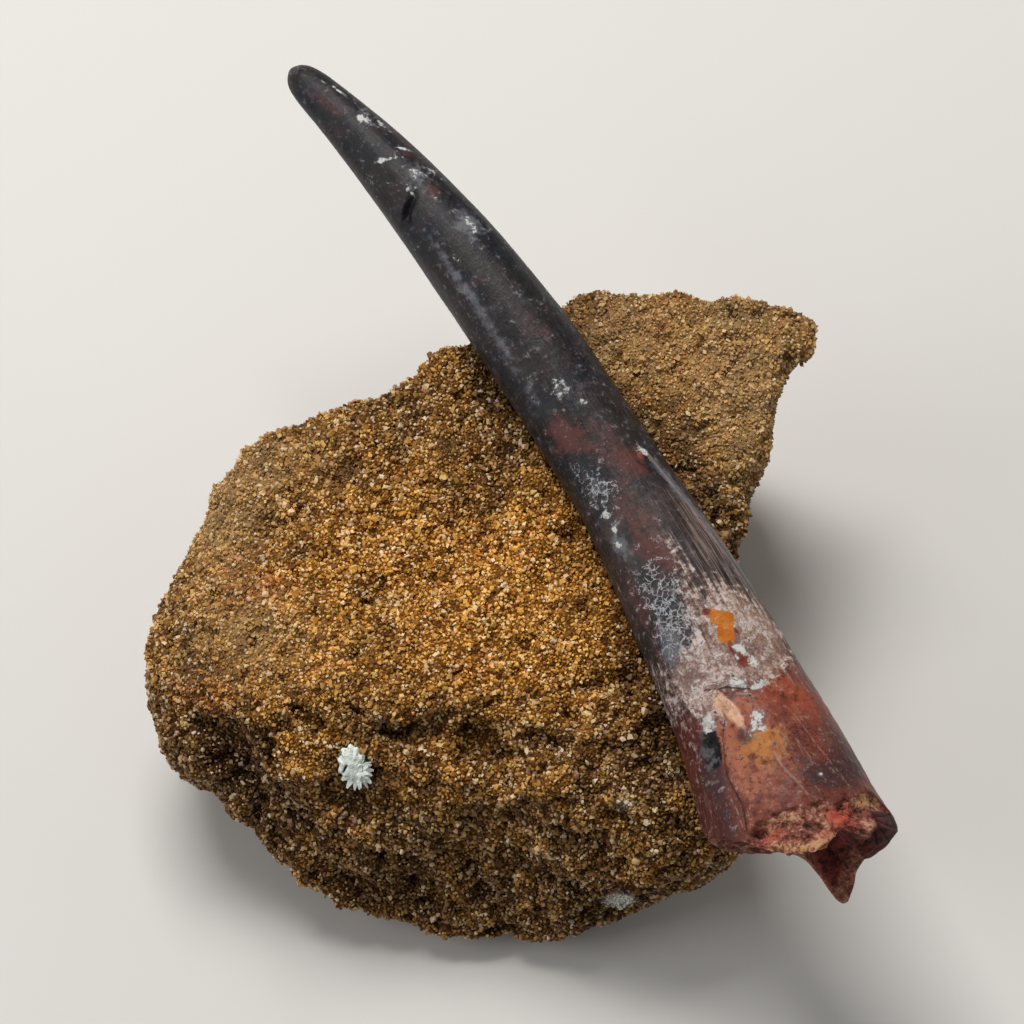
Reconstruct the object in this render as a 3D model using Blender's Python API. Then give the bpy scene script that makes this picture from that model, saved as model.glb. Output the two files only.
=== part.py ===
"""Fossil tooth of a fish-eating dinosaur, bedded across a lump of coarse sandstone.

The specimen is worked out square to its broad face, in millimetres: u runs to the
right across the face, v up it and w out of it.  Each piece is then leaned back onto
the flat underside, so that +Z is up, and scaled to metres.
"""

import math
from bisect import bisect_right

import bmesh
import bpy
from mathutils import Matrix, Vector, noise

MM = 0.001

# Stance: how the broad face leans back from level, the level of the flat underside,
# and the shift that brings the middle of the whole specimen's footprint to the origin.
FACE_LEAN = math.radians(25.0)
UNDERSIDE_W = -36.0
FOOTPRINT_SHIFT = (-0.2, -5.35)
FIT_GAP = 0.3

# Tooth: handles of its bowed centre line from the blunt tip to the broken root, and
# its radius by distance from the tip.
TOOTH_HANDLES = (
    Vector((-25.8, 51.6, -15.5)),
    Vector((0.1, 28.5, -8.5)),
    Vector((24.2, -14.8, 4.4)),
    Vector((31.0, -35.2, 10.5)),
)
TOOTH_GIRTH = (
    (0.0, 0.35), (0.6, 1.2), (1.6, 1.85), (3.5, 2.3), (8.0, 2.8),
    (16.0, 3.65), (24.0, 4.35), (33.0, 5.0), (46.0, 5.5), (63.0, 5.75),
    (77.0, 6.8), (91.0, 7.9), (97.0, 8.6), (108.0, 10.1), (116.0, 11.2),
)
TOOTH_DEPTH_RATIO = 0.94
TOOTH_SIDES = 48
TIP_STATIONS = (0.6, 1.6, 3.5)
CROWN_PITCH = 6.0
ROOT_PITCH = 2.2
ROOT_START = 90.0
END_START = 101.0
END_RINGS = 6

# Broken root end: how far each side of the wall reaches past the root station, by
# angle in degrees, 0 facing out of the broad face and 90 on the right flank.  The
# long tongue near 163 degrees is the far wall, which broke off last.
ROOT_STATION = 107.8
BREAK_LINE = (
    (-90.0, -4.6), (-60.0, -2.8), (-34.0, 1.3), (-8.0, 4.8), (20.0, 6.2),
    (60.0, 6.2), (90.0, 5.0), (115.0, 3.9), (134.0, 3.6), (146.0, 4.8),
    (155.0, 6.4), (163.0, 7.6), (171.0, 5.2), (181.0, 1.6), (197.0, 0.0),
    (235.0, -1.8),
)
WALL_THICKNESS = 2.4
TONGUE_SIDES = (125.0, 163.0, 200.0)
TONGUE_THINNING = 0.9
RIM_BEVEL = 0.4
HOLLOW_FLOOR = 106.4
FLOOR_RINGS = ((0.85, 0.3), (0.6, 0.7), (0.3, 0.95))
FLOOR_ROUGHNESS = 1.0
FLOOR_PITCH = (9.0, 2.5)

# Relief of the tooth's surface, in millimetres and degrees.
SPALL_SIDES = (-32.0, 80.0)
SPALL_FADES = (10.0, 20.0)
SPALL_START = 108.2
SPALL_RAMP = 1.5
SPALL_DEPTH = 1.1
SPALL_BUMPS = 0.5
SPALL_PITCH = (0.6, 0.1)
PLATE_START = 92.8
PLATE_RAMP = 0.8
PLATE_RISE = 0.35
PLATE_EDGE = ((92.0, -16.0), (100.7, -32.0), (104.4, -27.0), (108.4, -32.0))
PLATE_EDGE_FADE = 4.0
PLATE_FAR_SIDE = 115.0
PLATE_FAR_FADE = 20.0
PIT_STATION = 22.3
PIT_SIDE = -25.0
PIT_HALF_SPANS = (1.3, 1.1)
PIT_DEPTH = 0.55

# Sandstone lump: its outline seen square to the broad face, anticlockwise from the
# notch on the upper left of the tooth, and the level at which it is widest.
LUMP_MIDDLE = Vector((-1.4, -10.2))
LUMP_OUTLINE = (
    (-4.3, 19.6), (-6.0, 18.7), (-8.3, 19.1), (-9.7, 17.6), (-12.4, 14.3),
    (-14.7, 13.3), (-19.9, 11.6), (-24.5, 10.1), (-28.0, 9.3), (-30.3, 7.2),
    (-32.1, 4.6), (-35.0, 1.4), (-36.1, -3.2), (-39.0, -7.9), (-41.3, -11.3),
    (-42.2, -17.7), (-42.2, -20.6), (-40.7, -25.8), (-37.3, -31.0),
    (-33.8, -32.2), (-32.4, -34.8), (-29.1, -37.3), (-26.0, -41.2),
    (-20.2, -45.0), (-13.2, -47.3), (-9.6, -49.1), (-1.4, -50.1),
    (7.3, -49.4), (14.6, -45.9), (19.2, -43.8), (24.8, -41.0), (26.8, -38.6),
    (27.5, -33.3), (27.5, -26.4), (26.4, -12.5), (25.5, -4.2), (27.0, 2.0),
    (29.9, 7.4), (30.6, 12.4), (31.8, 16.0), (35.0, 19.3), (36.2, 21.1),
    (34.8, 22.6), (31.6, 24.1), (25.8, 24.9), (22.3, 23.9), (18.3, 25.7),
    (13.1, 24.9), (7.9, 25.5), (5.8, 23.7), (0.9, 21.6),
)
WIDEST_W = -12.0
OUTLINE_SWELL = 0.15
CORNER_WEAR = math.radians(1.2)
LUMP_SUBDIVISIONS = 6
LUMP_FACES_KEPT = 0.36
TOO_SMALL = 1e-6
WALL_DROP = 46.0
WALL_SQUARENESS = 0.25
SHOULDER_SHARPNESS = 7.0
SHOULDER_FULLNESS = 0.45

# Facets of the broad face, each a level at the middle and its rise along u and v.
TOP_FACET = (-3.2, 0.04, -0.34)
LOBE_FACET = (-0.7, -0.06, -0.32)
CREST_V = -21.3
CREST_WANDER = (0.13, 1.4)
FRONT_FALL = 0.80
FOOT_V = -36.0
FOOT_FALL = 0.30
VALLEY_U = -2.0
VALLEY_RISE = 0.50
BENCH_CREST = (-19.7, 0.382)
BENCH_FALL = 0.22
LEFT_EDGE_U = -30.0
LEFT_FALL = 0.45
CREASE_SOFTNESS = 1.6
BED_SHOULDER = 0.22
BED_REACH = 2.5
BED_SOFTNESS = 1.0
LOBE_BLEND = 3.0

# Hollows (negative) and lumps (positive) on the broad face: middle u and v, half
# spans along and across, turn in degrees, and height.
RELIEF = (
    (-3.7, -26.0, 3.0, 1.9, 0.0, -3.0),
    (-10.0, -23.6, 3.4, 1.5, 0.0, -1.5),
    (-22.8, -23.6, 2.4, 1.8, 0.0, -1.9),
    (17.7, -38.6, 3.2, 1.3, 10.0, -1.5),
    (-5.0, -38.4, 7.0, 1.2, 6.0, -1.3),
    (9.0, -2.9, 1.2, 1.2, 0.0, -1.2),
    (-30.0, -30.4, 10.5, 2.5, -48.0, -2.8),
    (-25.6, -31.4, 8.5, 1.7, -54.0, 1.0),
    (19.5, 5.5, 7.0, 3.0, 60.0, -0.9),
    (-6.6, 16.6, 3.4, 2.4, 0.0, 1.3),
    (8.0, -21.0, 4.0, 2.0, 20.0, -0.9),
    (-16.0, -41.0, 6.0, 2.5, -20.0, 1.1),
    (2.0, -31.0, 4.0, 2.5, 0.0, 1.0),
)
SPOT_FLATNESS = 1.3
LUMPINESS = ((0.085, 1.1), (0.23, 0.45), (0.55, 0.2))
LUMPINESS_FRACTAL = (0.9, 2.1, 3)
OUTLINE_CALM = 0.8
WALL_LUMPINESS = (0.05, 2.2)

# Broken faces of the hidden walls: bearing in degrees round the resting lump, 0 to the
# right and 90 to the back, reach from the middle at the underside, and the degrees by
# which each leans out above it.
WALL_FACETS = (
    (20.0, 33.5, 14.0), (62.0, 33.0, 8.0), (97.0, 25.0, 4.0), (128.0, 22.5, 12.0),
    (160.0, 31.5, 8.0), (192.0, 40.0, 14.0), (232.0, 37.0, 24.0), (268.0, 37.0, 20.0),
    (312.0, 37.5, 24.0), (350.0, 27.5, 12.0), (40.0, 24.0, 48.0), (112.0, 17.0, 50.0),
    (205.0, 33.0, 48.0), (284.0, 34.0, 50.0), (338.0, 25.0, 48.0),
)

# White crust rosette on the lump's lower left.
ROSETTE_PLACE = (-17.9, -28.9)
ROSETTE_HALF_SPANS = (2.2, 2.8, 0.95)
ROSETTE_LOBES = 11
ROSETTE_LOBE_DEPTH = 0.10
ROSETTE_SINK = 0.15
ROSETTE_SLOPE_SPAN = 1.5
ROSETTE_SIDES = (33, 8)

SHARP_EDGE = math.radians(50.0)
STONE_BROWN = (0.30, 0.17, 0.065, 1.0)
TOOTH_MAROON = (0.115, 0.045, 0.04, 1.0)
CRUST_WHITE = (0.72, 0.76, 0.72, 1.0)

OUT_OF_FACE = Vector((0.0, 0.0, 1.0))
DOWN = Vector((0.0, -math.sin(FACE_LEAN), -math.cos(FACE_LEAN)))
LEAN = Matrix.Rotation(FACE_LEAN, 3, "X")


def read_curve(stops, x):
    """Value at x on a smooth curve through (place, value) stops, level past the ends."""
    places = [stop[0] for stop in stops]
    x = min(max(x, places[0]), places[-1])
    i = min(bisect_right(places, x) - 1, len(stops) - 2)
    (x0, y0), (x1, y1) = stops[i], stops[i + 1]
    before, after = stops[max(i - 1, 0)], stops[min(i + 2, len(stops) - 1)]
    t = (x - x0) / (x1 - x0)
    leave = (y1 - before[1]) / (x1 - before[0]) * (x1 - x0)
    arrive = (after[1] - y0) / (after[0] - x0) * (x1 - x0)
    drift = y1 - y0
    bend = t * (t - 1.0)
    return y0 + drift * t * t * (3.0 - 2.0 * t) + bend * ((t - 1.0) * leave + t * arrive)


def ease(low, high, x):
    """0 below low, 1 above high and smooth between."""
    t = min(max((x - low) / (high - low), 0.0), 1.0)
    return t * t * (3.0 - 2.0 * t)


def soft_min(a, b, softness):
    """The lower of a and b, with the crease between them rounded."""
    h = max(softness - abs(a - b), 0.0) / softness
    return min(a, b) - h * h * softness / 4.0


class ToothAxis:
    """The tooth's bowed centre line, read by distance from the tip."""

    SAMPLES = 400

    def __init__(self, handles):
        self.points = [self.on_curve(handles, i / self.SAMPLES) for i in range(self.SAMPLES + 1)]
        self.reach = [0.0]
        for start, end in zip(self.points, self.points[1:]):
            self.reach.append(self.reach[-1] + (end - start).length)

    @staticmethod
    def on_curve(handles, t):
        """Point at t, from 0 to 1, on the cubic curve of the four handles."""
        weights = ((1 - t) ** 3, 3 * (1 - t) ** 2 * t, 3 * (1 - t) * t * t, t ** 3)
        return sum((handle * weight for handle, weight in zip(handles, weights)), Vector())

    def frame(self, station):
        """Centre, run, near and right directions at a station, straight past the ends."""
        i = min(max(bisect_right(self.reach, station) - 1, 0), self.SAMPLES - 1)
        run = (self.points[i + 1] - self.points[i]).normalized()
        centre = self.points[i] + run * (station - self.reach[i])
        near = (OUT_OF_FACE - run * run.z).normalized()
        return centre, run, near, near.cross(run)

    def beside(self, v):
        """Centre, radius and left-to-right slope factor of the tooth at height v."""
        heights = [-point.y for point in self.points]
        i = min(max(bisect_right(heights, -v), 1), self.SAMPLES)
        run = (self.points[i] - self.points[i - 1]).normalized()
        return self.points[i], read_curve(TOOTH_GIRTH, self.reach[i]), -run.y


AXIS = ToothAxis(TOOTH_HANDLES)


def break_reach(side):
    """Station at which the wall ends on the side given in degrees."""
    turned = (side + 90.0) % 360.0 - 90.0
    return ROOT_STATION + read_curve(BREAK_LINE + ((270.0, BREAK_LINE[0][1]),), turned)


def tooth_relief(station, side):
    """How far the tooth's surface stands proud of its plain girth."""
    turned = (side + 180.0) % 360.0 - 180.0
    along = (station - PIT_STATION) / PIT_HALF_SPANS[0]
    around = math.radians(turned - PIT_SIDE) * read_curve(TOOTH_GIRTH, station) / PIT_HALF_SPANS[1]
    height = -PIT_DEPTH * math.exp(-along * along - around * around)
    edge = read_curve(PLATE_EDGE, station)
    plate = ease(edge - PLATE_EDGE_FADE, edge + PLATE_EDGE_FADE, turned)
    plate *= ease(PLATE_START - PLATE_RAMP, PLATE_START + PLATE_RAMP, station)
    plate *= 1.0 - ease(PLATE_FAR_SIDE, PLATE_FAR_SIDE + PLATE_FAR_FADE, turned)
    spall = ease(SPALL_START, SPALL_START + SPALL_RAMP, station)
    spall *= ease(SPALL_SIDES[0], SPALL_SIDES[0] + SPALL_FADES[0], turned)
    spall *= 1.0 - ease(SPALL_SIDES[1], SPALL_SIDES[1] + SPALL_FADES[1], turned)
    bumps = noise.noise(Vector((station * SPALL_PITCH[0], turned * SPALL_PITCH[1], 3.7)))
    return height + PLATE_RISE * plate - spall * (SPALL_DEPTH + SPALL_BUMPS * bumps)


def tooth_point(station, side, radius):
    """Point at a distance from the centre line, on the side given in degrees."""
    centre, _, near, right = AXIS.frame(station)
    angle = math.radians(side)
    out = near * (TOOTH_DEPTH_RATIO * math.cos(angle)) + right * math.sin(angle)
    return centre + out * radius


def tooth_rings(grow):
    """Rings of points down the outside of the tooth, from the tip to the break."""
    sides = [360.0 * i / TOOTH_SIDES for i in range(TOOTH_SIDES)]
    stations = list(TIP_STATIONS)
    while stations[-1] + CROWN_PITCH < ROOT_START:
        stations.append(stations[-1] + CROWN_PITCH)
    stations.append(ROOT_START)
    while stations[-1] + ROOT_PITCH < END_START:
        stations.append(stations[-1] + ROOT_PITCH)
    rings = [[(station, side) for side in sides] for station in stations]
    for ring in range(1, END_RINGS + 1):
        share = ring / END_RINGS
        rings.append([(END_START + share * (break_reach(side) + grow - END_START), side) for side in sides])
    return [[(s, side, read_curve(TOOTH_GIRTH, s) + tooth_relief(s, side) + grow) for s, side in ring]
            for ring in rings]


def hollow_rings(rim):
    """Rings of the broken end: the inner edge of the wall and the rough floor."""
    inner = []
    left, middle, right = TONGUE_SIDES
    for station, side, radius in rim:
        tongue = ease(left, middle, side) * (1.0 - ease(middle, right, side))
        thickness = WALL_THICKNESS - TONGUE_THINNING * tongue
        inner.append((station - RIM_BEVEL, side, radius - thickness))
    rings = [inner]
    inward, around = FLOOR_PITCH
    for share, sink in FLOOR_RINGS:
        ring = []
        for station, side, radius in inner:
            angle = math.radians(side)
            clod = noise.noise(Vector((share * inward, math.cos(angle) * around, math.sin(angle) * around)))
            floor = station + (HOLLOW_FLOOR - station) * sink + FLOOR_ROUGHNESS * clod
            ring.append((floor, side, radius * share))
        rings.append(ring)
    return rings


def sweep(bm, rings, first, last):
    """Closed skin through rings of points, drawn to a point at each end."""
    skin = [[bm.verts.new(point) for point in ring] for ring in rings]
    ends = ((skin[0], bm.verts.new(first)), (skin[-1], bm.verts.new(last)))
    for upper, lower in zip(skin, skin[1:]):
        for i, vert in enumerate(upper):
            bm.faces.new((vert, upper[i - 1], lower[i - 1], lower[i]))
    for ring, tip in ends:
        for i, vert in enumerate(ring):
            bm.faces.new((vert, ring[i - 1], tip))
    bmesh.ops.recalc_face_normals(bm, faces=bm.faces)


def outline_by_angle():
    """The lump's outline as (angle, radius) about its middle, in order of angle."""
    polar = []
    for u, v in LUMP_OUTLINE:
        reach = Vector((u, v)) - LUMP_MIDDLE
        polar.append((math.atan2(reach.y, reach.x) % math.tau, reach.length + OUTLINE_SWELL))
    polar.sort()
    (first_angle, first), (last_angle, last) = polar[0], polar[-1]
    return [(last_angle - math.tau, last)] + polar + [(first_angle + math.tau, first)]


OUTLINE = outline_by_angle()
OUTLINE_ANGLES = [angle for angle, _ in OUTLINE]


def outline_radius(angle):
    """Distance from the lump's middle to its outline, its corners worn round."""
    total = 0.0
    for turn in (-CORNER_WEAR, 0.0, CORNER_WEAR):
        near = (angle + turn) % math.tau
        i = bisect_right(OUTLINE_ANGLES, near)
        (a0, r0), (a1, r1) = OUTLINE[i - 1], OUTLINE[i]
        total += r0 + (r1 - r0) * (near - a0) / (a1 - a0)
    return total / 3.0


def facet(plane, u, v):
    """Height at u, v of a plane given as a level and its rises."""
    level, rise_u, rise_v = plane
    return level + rise_u * u + rise_v * v


def left_side(u, v):
    """Height of the lump's face on the left of the tooth."""
    top = facet(TOP_FACET, u, v)
    wander = CREST_WANDER[1] * noise.noise(Vector((u * CREST_WANDER[0], 4.2, 0.0)))
    front = top + FRONT_FALL * (v - CREST_V + wander) - FOOT_FALL * max(FOOT_V - v, 0.0)
    front += VALLEY_RISE * max(u - VALLEY_U, 0.0)
    bench = top + BENCH_FALL * (v - BENCH_CREST[0] - BENCH_CREST[1] * u)
    left = top - LEFT_FALL * max(LEFT_EDGE_U - u, 0.0)
    body = soft_min(soft_min(top, bench, CREASE_SOFTNESS), front, CREASE_SOFTNESS)
    return soft_min(body, left, CREASE_SOFTNESS)


def spots(u, v):
    """Sum of the hollows and lumps of the broad face at u, v."""
    height = 0.0
    for middle_u, middle_v, along, across, turn, rise in RELIEF:
        angle = math.radians(turn)
        du, dv = u - middle_u, v - middle_v
        a = (du * math.cos(angle) + dv * math.sin(angle)) / along
        b = (dv * math.cos(angle) - du * math.sin(angle)) / across
        height += rise * math.exp(-(a * a + b * b) ** SPOT_FLATNESS)
    return height


def face_height(u, v):
    """Height of the lump's broad face at u, v, before its edge is rounded over."""
    axis, girth, square = AXIS.beside(v)
    offset = (u - axis.x) * square
    share = ease(-LOBE_BLEND, LOBE_BLEND, offset)
    height = left_side(u, v) * (1.0 - share) + facet(LOBE_FACET, u, v) * share + spots(u, v)
    shoulder = axis.z - BED_SHOULDER * girth
    near_bed = 1.0 - ease(girth, girth + BED_REACH, abs(offset))
    return height + (soft_min(height, shoulder, BED_SOFTNESS) - height) * near_bed


def front_point(angle, share):
    """Point of the broad face, at a share of the way from the middle to the outline."""
    reach = share * outline_radius(angle)
    u = LUMP_MIDDLE.x + reach * math.cos(angle)
    v = LUMP_MIDDLE.y + reach * math.sin(angle)
    fullness = max(1.0 - share ** SHOULDER_SHARPNESS, 0.0) ** SHOULDER_FULLNESS
    return Vector((u, v, WIDEST_W + (face_height(u, v) - WIDEST_W) * fullness))


def wall_point(angle, share, drop):
    """Point of the hidden wall, a drop straight down below the outline."""
    middle = Vector((*LUMP_MIDDLE, WIDEST_W)) + DOWN * drop
    reach = outline_radius(angle) * share ** WALL_SQUARENESS
    return middle + Vector((reach * math.cos(angle), reach * math.sin(angle), 0.0))


def lumpiness(point):
    """Uneven swelling of the weathered stone at a point."""
    return sum(height * noise.fractal(point * pitch, *LUMPINESS_FRACTAL) for pitch, height in LUMPINESS)


def dress_wall(point):
    """A wall point with the stone's large unevenness and its broken faces."""
    pitch, height = WALL_LUMPINESS
    outward = Vector((point.x - LUMP_MIDDLE.x, point.y - LUMP_MIDDLE.y, 0.0)).normalized()
    resting = LEAN @ (point + outward * (height * noise.noise(point * pitch)))
    rise = max(resting.z - UNDERSIDE_W, 0.0)
    for bearing, reach, lean in WALL_FACETS:
        side = math.radians(bearing)
        outward = Vector((math.cos(side), math.sin(side), 0.0))
        excess = resting.dot(outward) - reach - rise * math.tan(math.radians(lean))
        resting -= outward * max(excess, 0.0)
    return LEAN.inverted() @ resting


def inside_outline(point):
    """The point, drawn in square to the broad face if it lies outside the outline."""
    flat = point.to_2d() - LUMP_MIDDLE
    limit = outline_radius(math.atan2(flat.y, flat.x))
    return Vector((*(LUMP_MIDDLE + flat * min(1.0, limit / max(flat.length, TOO_SMALL))), point.z))


def build_lump(bm):
    """Shapes a sphere into the sandstone lump: broad face, walls and weathering."""
    bmesh.ops.create_icosphere(bm, subdivisions=LUMP_SUBDIVISIONS, radius=1.0)
    hidden = []
    for vert in bm.verts:
        angle = math.atan2(vert.co.y, vert.co.x)
        share = min(math.hypot(vert.co.x, vert.co.y), 1.0)
        if vert.co.z > -TOO_SMALL:
            vert.co = front_point(angle, share)
        else:
            hidden.append(vert)
            vert.co = dress_wall(wall_point(angle, share, -vert.co.z * WALL_DROP))
    bmesh.ops.smooth_vert(bm, verts=bm.verts, factor=0.5, use_axis_x=True, use_axis_y=True, use_axis_z=True)
    bm.normal_update()
    moves = []
    for vert in bm.verts:
        flat = vert.co.to_2d() - LUMP_MIDDLE
        rim = flat.length / outline_radius(math.atan2(flat.y, flat.x))
        calm = 1.0 - OUTLINE_CALM * ease(0.85, 1.0, rim)
        moves.append(vert.normal * (lumpiness(vert.co) * calm))
    for vert, move in zip(bm.verts, moves):
        vert.co += move
    for vert in hidden:
        vert.co = inside_outline(vert.co)


def build_rosette(bm, grow):
    """A low lobed dome that follows the slope of the stone under it."""
    u, v = ROSETTE_PLACE
    span = ROSETTE_SLOPE_SPAN
    rise_u = (face_height(u + span, v) - face_height(u - span, v)) / (2.0 * span)
    rise_v = (face_height(u, v + span) - face_height(u, v - span)) / (2.0 * span)
    seat = Vector((u, v, face_height(u, v)))
    seat.z += lumpiness(seat) - ROSETTE_SINK
    tilt = OUT_OF_FACE.rotation_difference(Vector((-rise_u, -rise_v, 1.0))).to_matrix().to_4x4()
    bmesh.ops.create_uvsphere(bm, u_segments=ROSETTE_SIDES[0], v_segments=ROSETTE_SIDES[1], radius=1.0)
    for vert in bm.verts:
        angle = math.atan2(vert.co.y, vert.co.x)
        lobe = 1.0 + ROSETTE_LOBE_DEPTH * math.cos(ROSETTE_LOBES * angle)
        width, height, rise = (half_span + grow for half_span in ROSETTE_HALF_SPANS)
        vert.co = Vector((vert.co.x * width * lobe, vert.co.y * height * lobe, vert.co.z * rise))
    bmesh.ops.transform(bm, matrix=Matrix.Translation(seat) @ tilt, verts=bm.verts)


def build_tooth(bm, grow=0.0, solid_end=False):
    """The whole tooth, or with solid_end the plain plug that shapes its bed."""
    rings = tooth_rings(grow)
    outer = [[tooth_point(*place) for place in ring] for ring in rings]
    tip = AXIS.frame(-grow)[0]
    if solid_end:
        sweep(bm, outer, tip, AXIS.frame(ROOT_STATION)[0])
        return
    inner = [[tooth_point(*place) for place in ring] for ring in hollow_rings(rings[-1])]
    sweep(bm, outer + inner, tip, AXIS.frame(HOLLOW_FLOOR)[0])


def settle():
    """From the broad face's millimetres to the resting specimen's metres."""
    shift = Matrix.Translation((*FOOTPRINT_SHIFT, -UNDERSIDE_W))
    return Matrix.Scale(MM, 4) @ shift @ LEAN.to_4x4()


def plain_material(name, colour, roughness):
    """A Principled material of one colour."""
    material = bpy.data.materials.new(name)
    material.use_nodes = True
    shader = material.node_tree.nodes["Principled BSDF"]
    shader.inputs["Base Color"].default_value = colour
    shader.inputs["Roughness"].default_value = roughness
    material.diffuse_color = colour
    return material


def add_piece(name, bm, material=None, smooth=True, matrix=None):
    """A mesh object from bm, placed by matrix and parented to the specimen."""
    bmesh.ops.transform(bm, matrix=matrix or settle(), verts=bm.verts)
    mesh = bpy.data.meshes.new(name)
    bm.to_mesh(mesh)
    bm.free()
    if smooth:
        mesh.shade_smooth()
        mesh.set_sharp_from_angle(angle=SHARP_EDGE)
    piece = bpy.data.objects.new(name, mesh)
    bpy.context.scene.collection.objects.link(piece)
    piece.parent = SPECIMEN
    if material:
        mesh.materials.append(material)
    else:
        piece.hide_render = True
        piece.display_type = "WIRE"
    return piece


def cut(piece, cutter):
    """Takes the cutter's shape out of the piece."""
    modifier = piece.modifiers.new(cutter.name, "BOOLEAN")
    modifier.operation = "DIFFERENCE"
    modifier.solver = "EXACT"
    modifier.object = cutter


def make_underside_cutter():
    """A block below the level on which the lump rests."""
    block = bmesh.new()
    bmesh.ops.create_cube(block, size=1.0)
    side, depth = 0.2, 0.05
    matrix = Matrix.Translation((0.0, 0.0, -depth / 2.0)) @ Matrix.Diagonal((side, side, depth, 1.0))
    return add_piece("underside_cutter", block, smooth=False, matrix=matrix)


def make_tooth():
    """The tooth, from its tip to the broken, hollow root end."""
    bm = bmesh.new()
    build_tooth(bm)
    return add_piece("spinosaurus_tooth", bm, plain_material("tooth_enamel", TOOTH_MAROON, 0.35))


def make_lump():
    """The sandstone lump, with its flat underside and the beds of what lies in it."""
    bm = bmesh.new()
    build_lump(bm)
    stone = plain_material("sandstone", STONE_BROWN, 0.9)
    lump = add_piece("sandstone_matrix", bm, stone, smooth=False)
    thin = lump.modifiers.new("coarser_faces", "DECIMATE")
    thin.ratio = LUMP_FACES_KEPT
    thin.use_collapse_triangulate = True
    cut(lump, make_underside_cutter())
    tooth_bed = bmesh.new()
    build_tooth(tooth_bed, FIT_GAP, solid_end=True)
    cut(lump, add_piece("tooth_bed_cutter", tooth_bed))
    pocket = bmesh.new()
    build_rosette(pocket, FIT_GAP)
    cut(lump, add_piece("rosette_pocket_cutter", pocket))
    return lump


def make_rosette():
    """The white crust rosette in its shallow pocket."""
    bm = bmesh.new()
    build_rosette(bm, 0.0)
    return add_piece("white_crust_rosette", bm, plain_material("white_crust", CRUST_WHITE, 0.85))


for stale in list(bpy.data.objects):
    bpy.data.objects.remove(stale, do_unlink=True)
SPECIMEN = bpy.data.objects.new("specimen", None)
bpy.context.scene.collection.objects.link(SPECIMEN)
make_tooth()
make_lump()
make_rosette()
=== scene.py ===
"""A fossil spinosaurus tooth bedded across a lump of coarse sandstone.

Both are worked out square to the stone's broad face, in millimetres: u runs to the right
across the face, v up it and w out of it.  The tooth's surface is laid out by station
(distance from the tip along the centre line) and side (degrees round it, 0 facing out of
the broad face and 90 on the right flank).
"""

import logging
import math
from dataclasses import dataclass
from enum import Enum
from typing import Any, Callable

import bpy
import numpy as np
from mathutils import Matrix, Vector, noise

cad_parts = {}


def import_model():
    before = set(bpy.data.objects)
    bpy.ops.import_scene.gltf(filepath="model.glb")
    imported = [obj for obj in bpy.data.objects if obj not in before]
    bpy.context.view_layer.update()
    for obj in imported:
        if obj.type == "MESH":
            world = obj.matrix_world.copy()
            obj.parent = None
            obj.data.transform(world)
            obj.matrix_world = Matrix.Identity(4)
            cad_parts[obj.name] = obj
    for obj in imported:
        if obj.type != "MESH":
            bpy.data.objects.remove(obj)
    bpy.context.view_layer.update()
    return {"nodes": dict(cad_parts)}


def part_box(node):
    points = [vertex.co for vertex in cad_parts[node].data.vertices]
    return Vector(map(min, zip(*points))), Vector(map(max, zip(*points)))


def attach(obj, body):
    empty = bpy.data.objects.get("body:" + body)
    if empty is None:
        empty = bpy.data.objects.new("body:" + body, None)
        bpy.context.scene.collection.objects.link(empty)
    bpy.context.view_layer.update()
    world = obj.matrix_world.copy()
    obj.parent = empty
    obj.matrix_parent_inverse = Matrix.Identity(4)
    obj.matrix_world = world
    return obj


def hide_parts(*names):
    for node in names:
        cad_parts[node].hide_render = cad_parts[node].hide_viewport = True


LOG = logging.getLogger("spinosaurus_tooth")
MM = 0.001
BODY = "root"
BAKE_MAP = "OFBake"

Piece = bpy.types.Object
Array = np.ndarray
Pair = tuple[float, float]
Triple = tuple[float, float, float]
Colour = Triple
Stops = tuple[Pair, ...]
Shades = tuple[tuple[float, Colour], ...]
Shape = tuple[Array, Array]


# ---- Curves, patches, unevenness and the specimen's stance ----


def smooth_curve(stops: Stops, x: Array) -> Array:
    """Reads a smooth curve through stops, level past its ends.

    Args:
        stops: (place, value) pairs in order of place.
        x: Places to read.

    Returns:
        The curve's value at each place.
    """
    places, values = np.array(stops).T
    x = np.clip(x, places[0], places[-1])
    i = np.clip(np.searchsorted(places, x, side="right") - 1, 0, len(places) - 2)
    before, after = np.maximum(i - 1, 0), np.minimum(i + 2, len(places) - 1)
    span = places[i + 1] - places[i]
    t = (x - places[i]) / span
    leave = (values[i + 1] - values[before]) / (places[i + 1] - places[before]) * span
    arrive = (values[after] - values[i]) / (places[after] - places[i]) * span
    level = values[i] + (values[i + 1] - values[i]) * t * t * (3.0 - 2.0 * t)
    return level + t * (t - 1.0) * ((t - 1.0) * leave + t * arrive)


def ease(low: float | Array, high: float | Array, x: Array) -> Array:
    """0 below low, 1 above high and smooth between."""
    t = np.clip((x - low) / (high - low), 0.0, 1.0)
    return t * t * (3.0 - 2.0 * t)


def turned(x: Array, y: Array, degrees: float) -> tuple[Array, Array]:
    """Distances along and across axes that are turned by some degrees."""
    c, s = math.cos(math.radians(degrees)), math.sin(math.radians(degrees))
    return x * c + y * s, y * c - x * s


def bumps(points: Array, size: float, seed: float = 0.0, octaves: int = 1) -> Array:
    """Smooth solid noise, from about -1 to 1.

    Args:
        points: Places to read, with the coordinates on the last axis.
        size: How far apart the bumps lie, in the points' own unit.
        seed: Moves the pattern, so that two fields don't repeat each other.
        octaves: Layers of finer and weaker bumps.

    Returns:
        The noise at each point.
    """
    places = (points.reshape(-1, 3) / size + seed).tolist()
    at = noise.noise if octaves == 1 else lambda place: noise.fractal(place, 1.0, 2.0, octaves)
    return np.array([at(place) for place in places]).reshape(points.shape[:-1])


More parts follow.
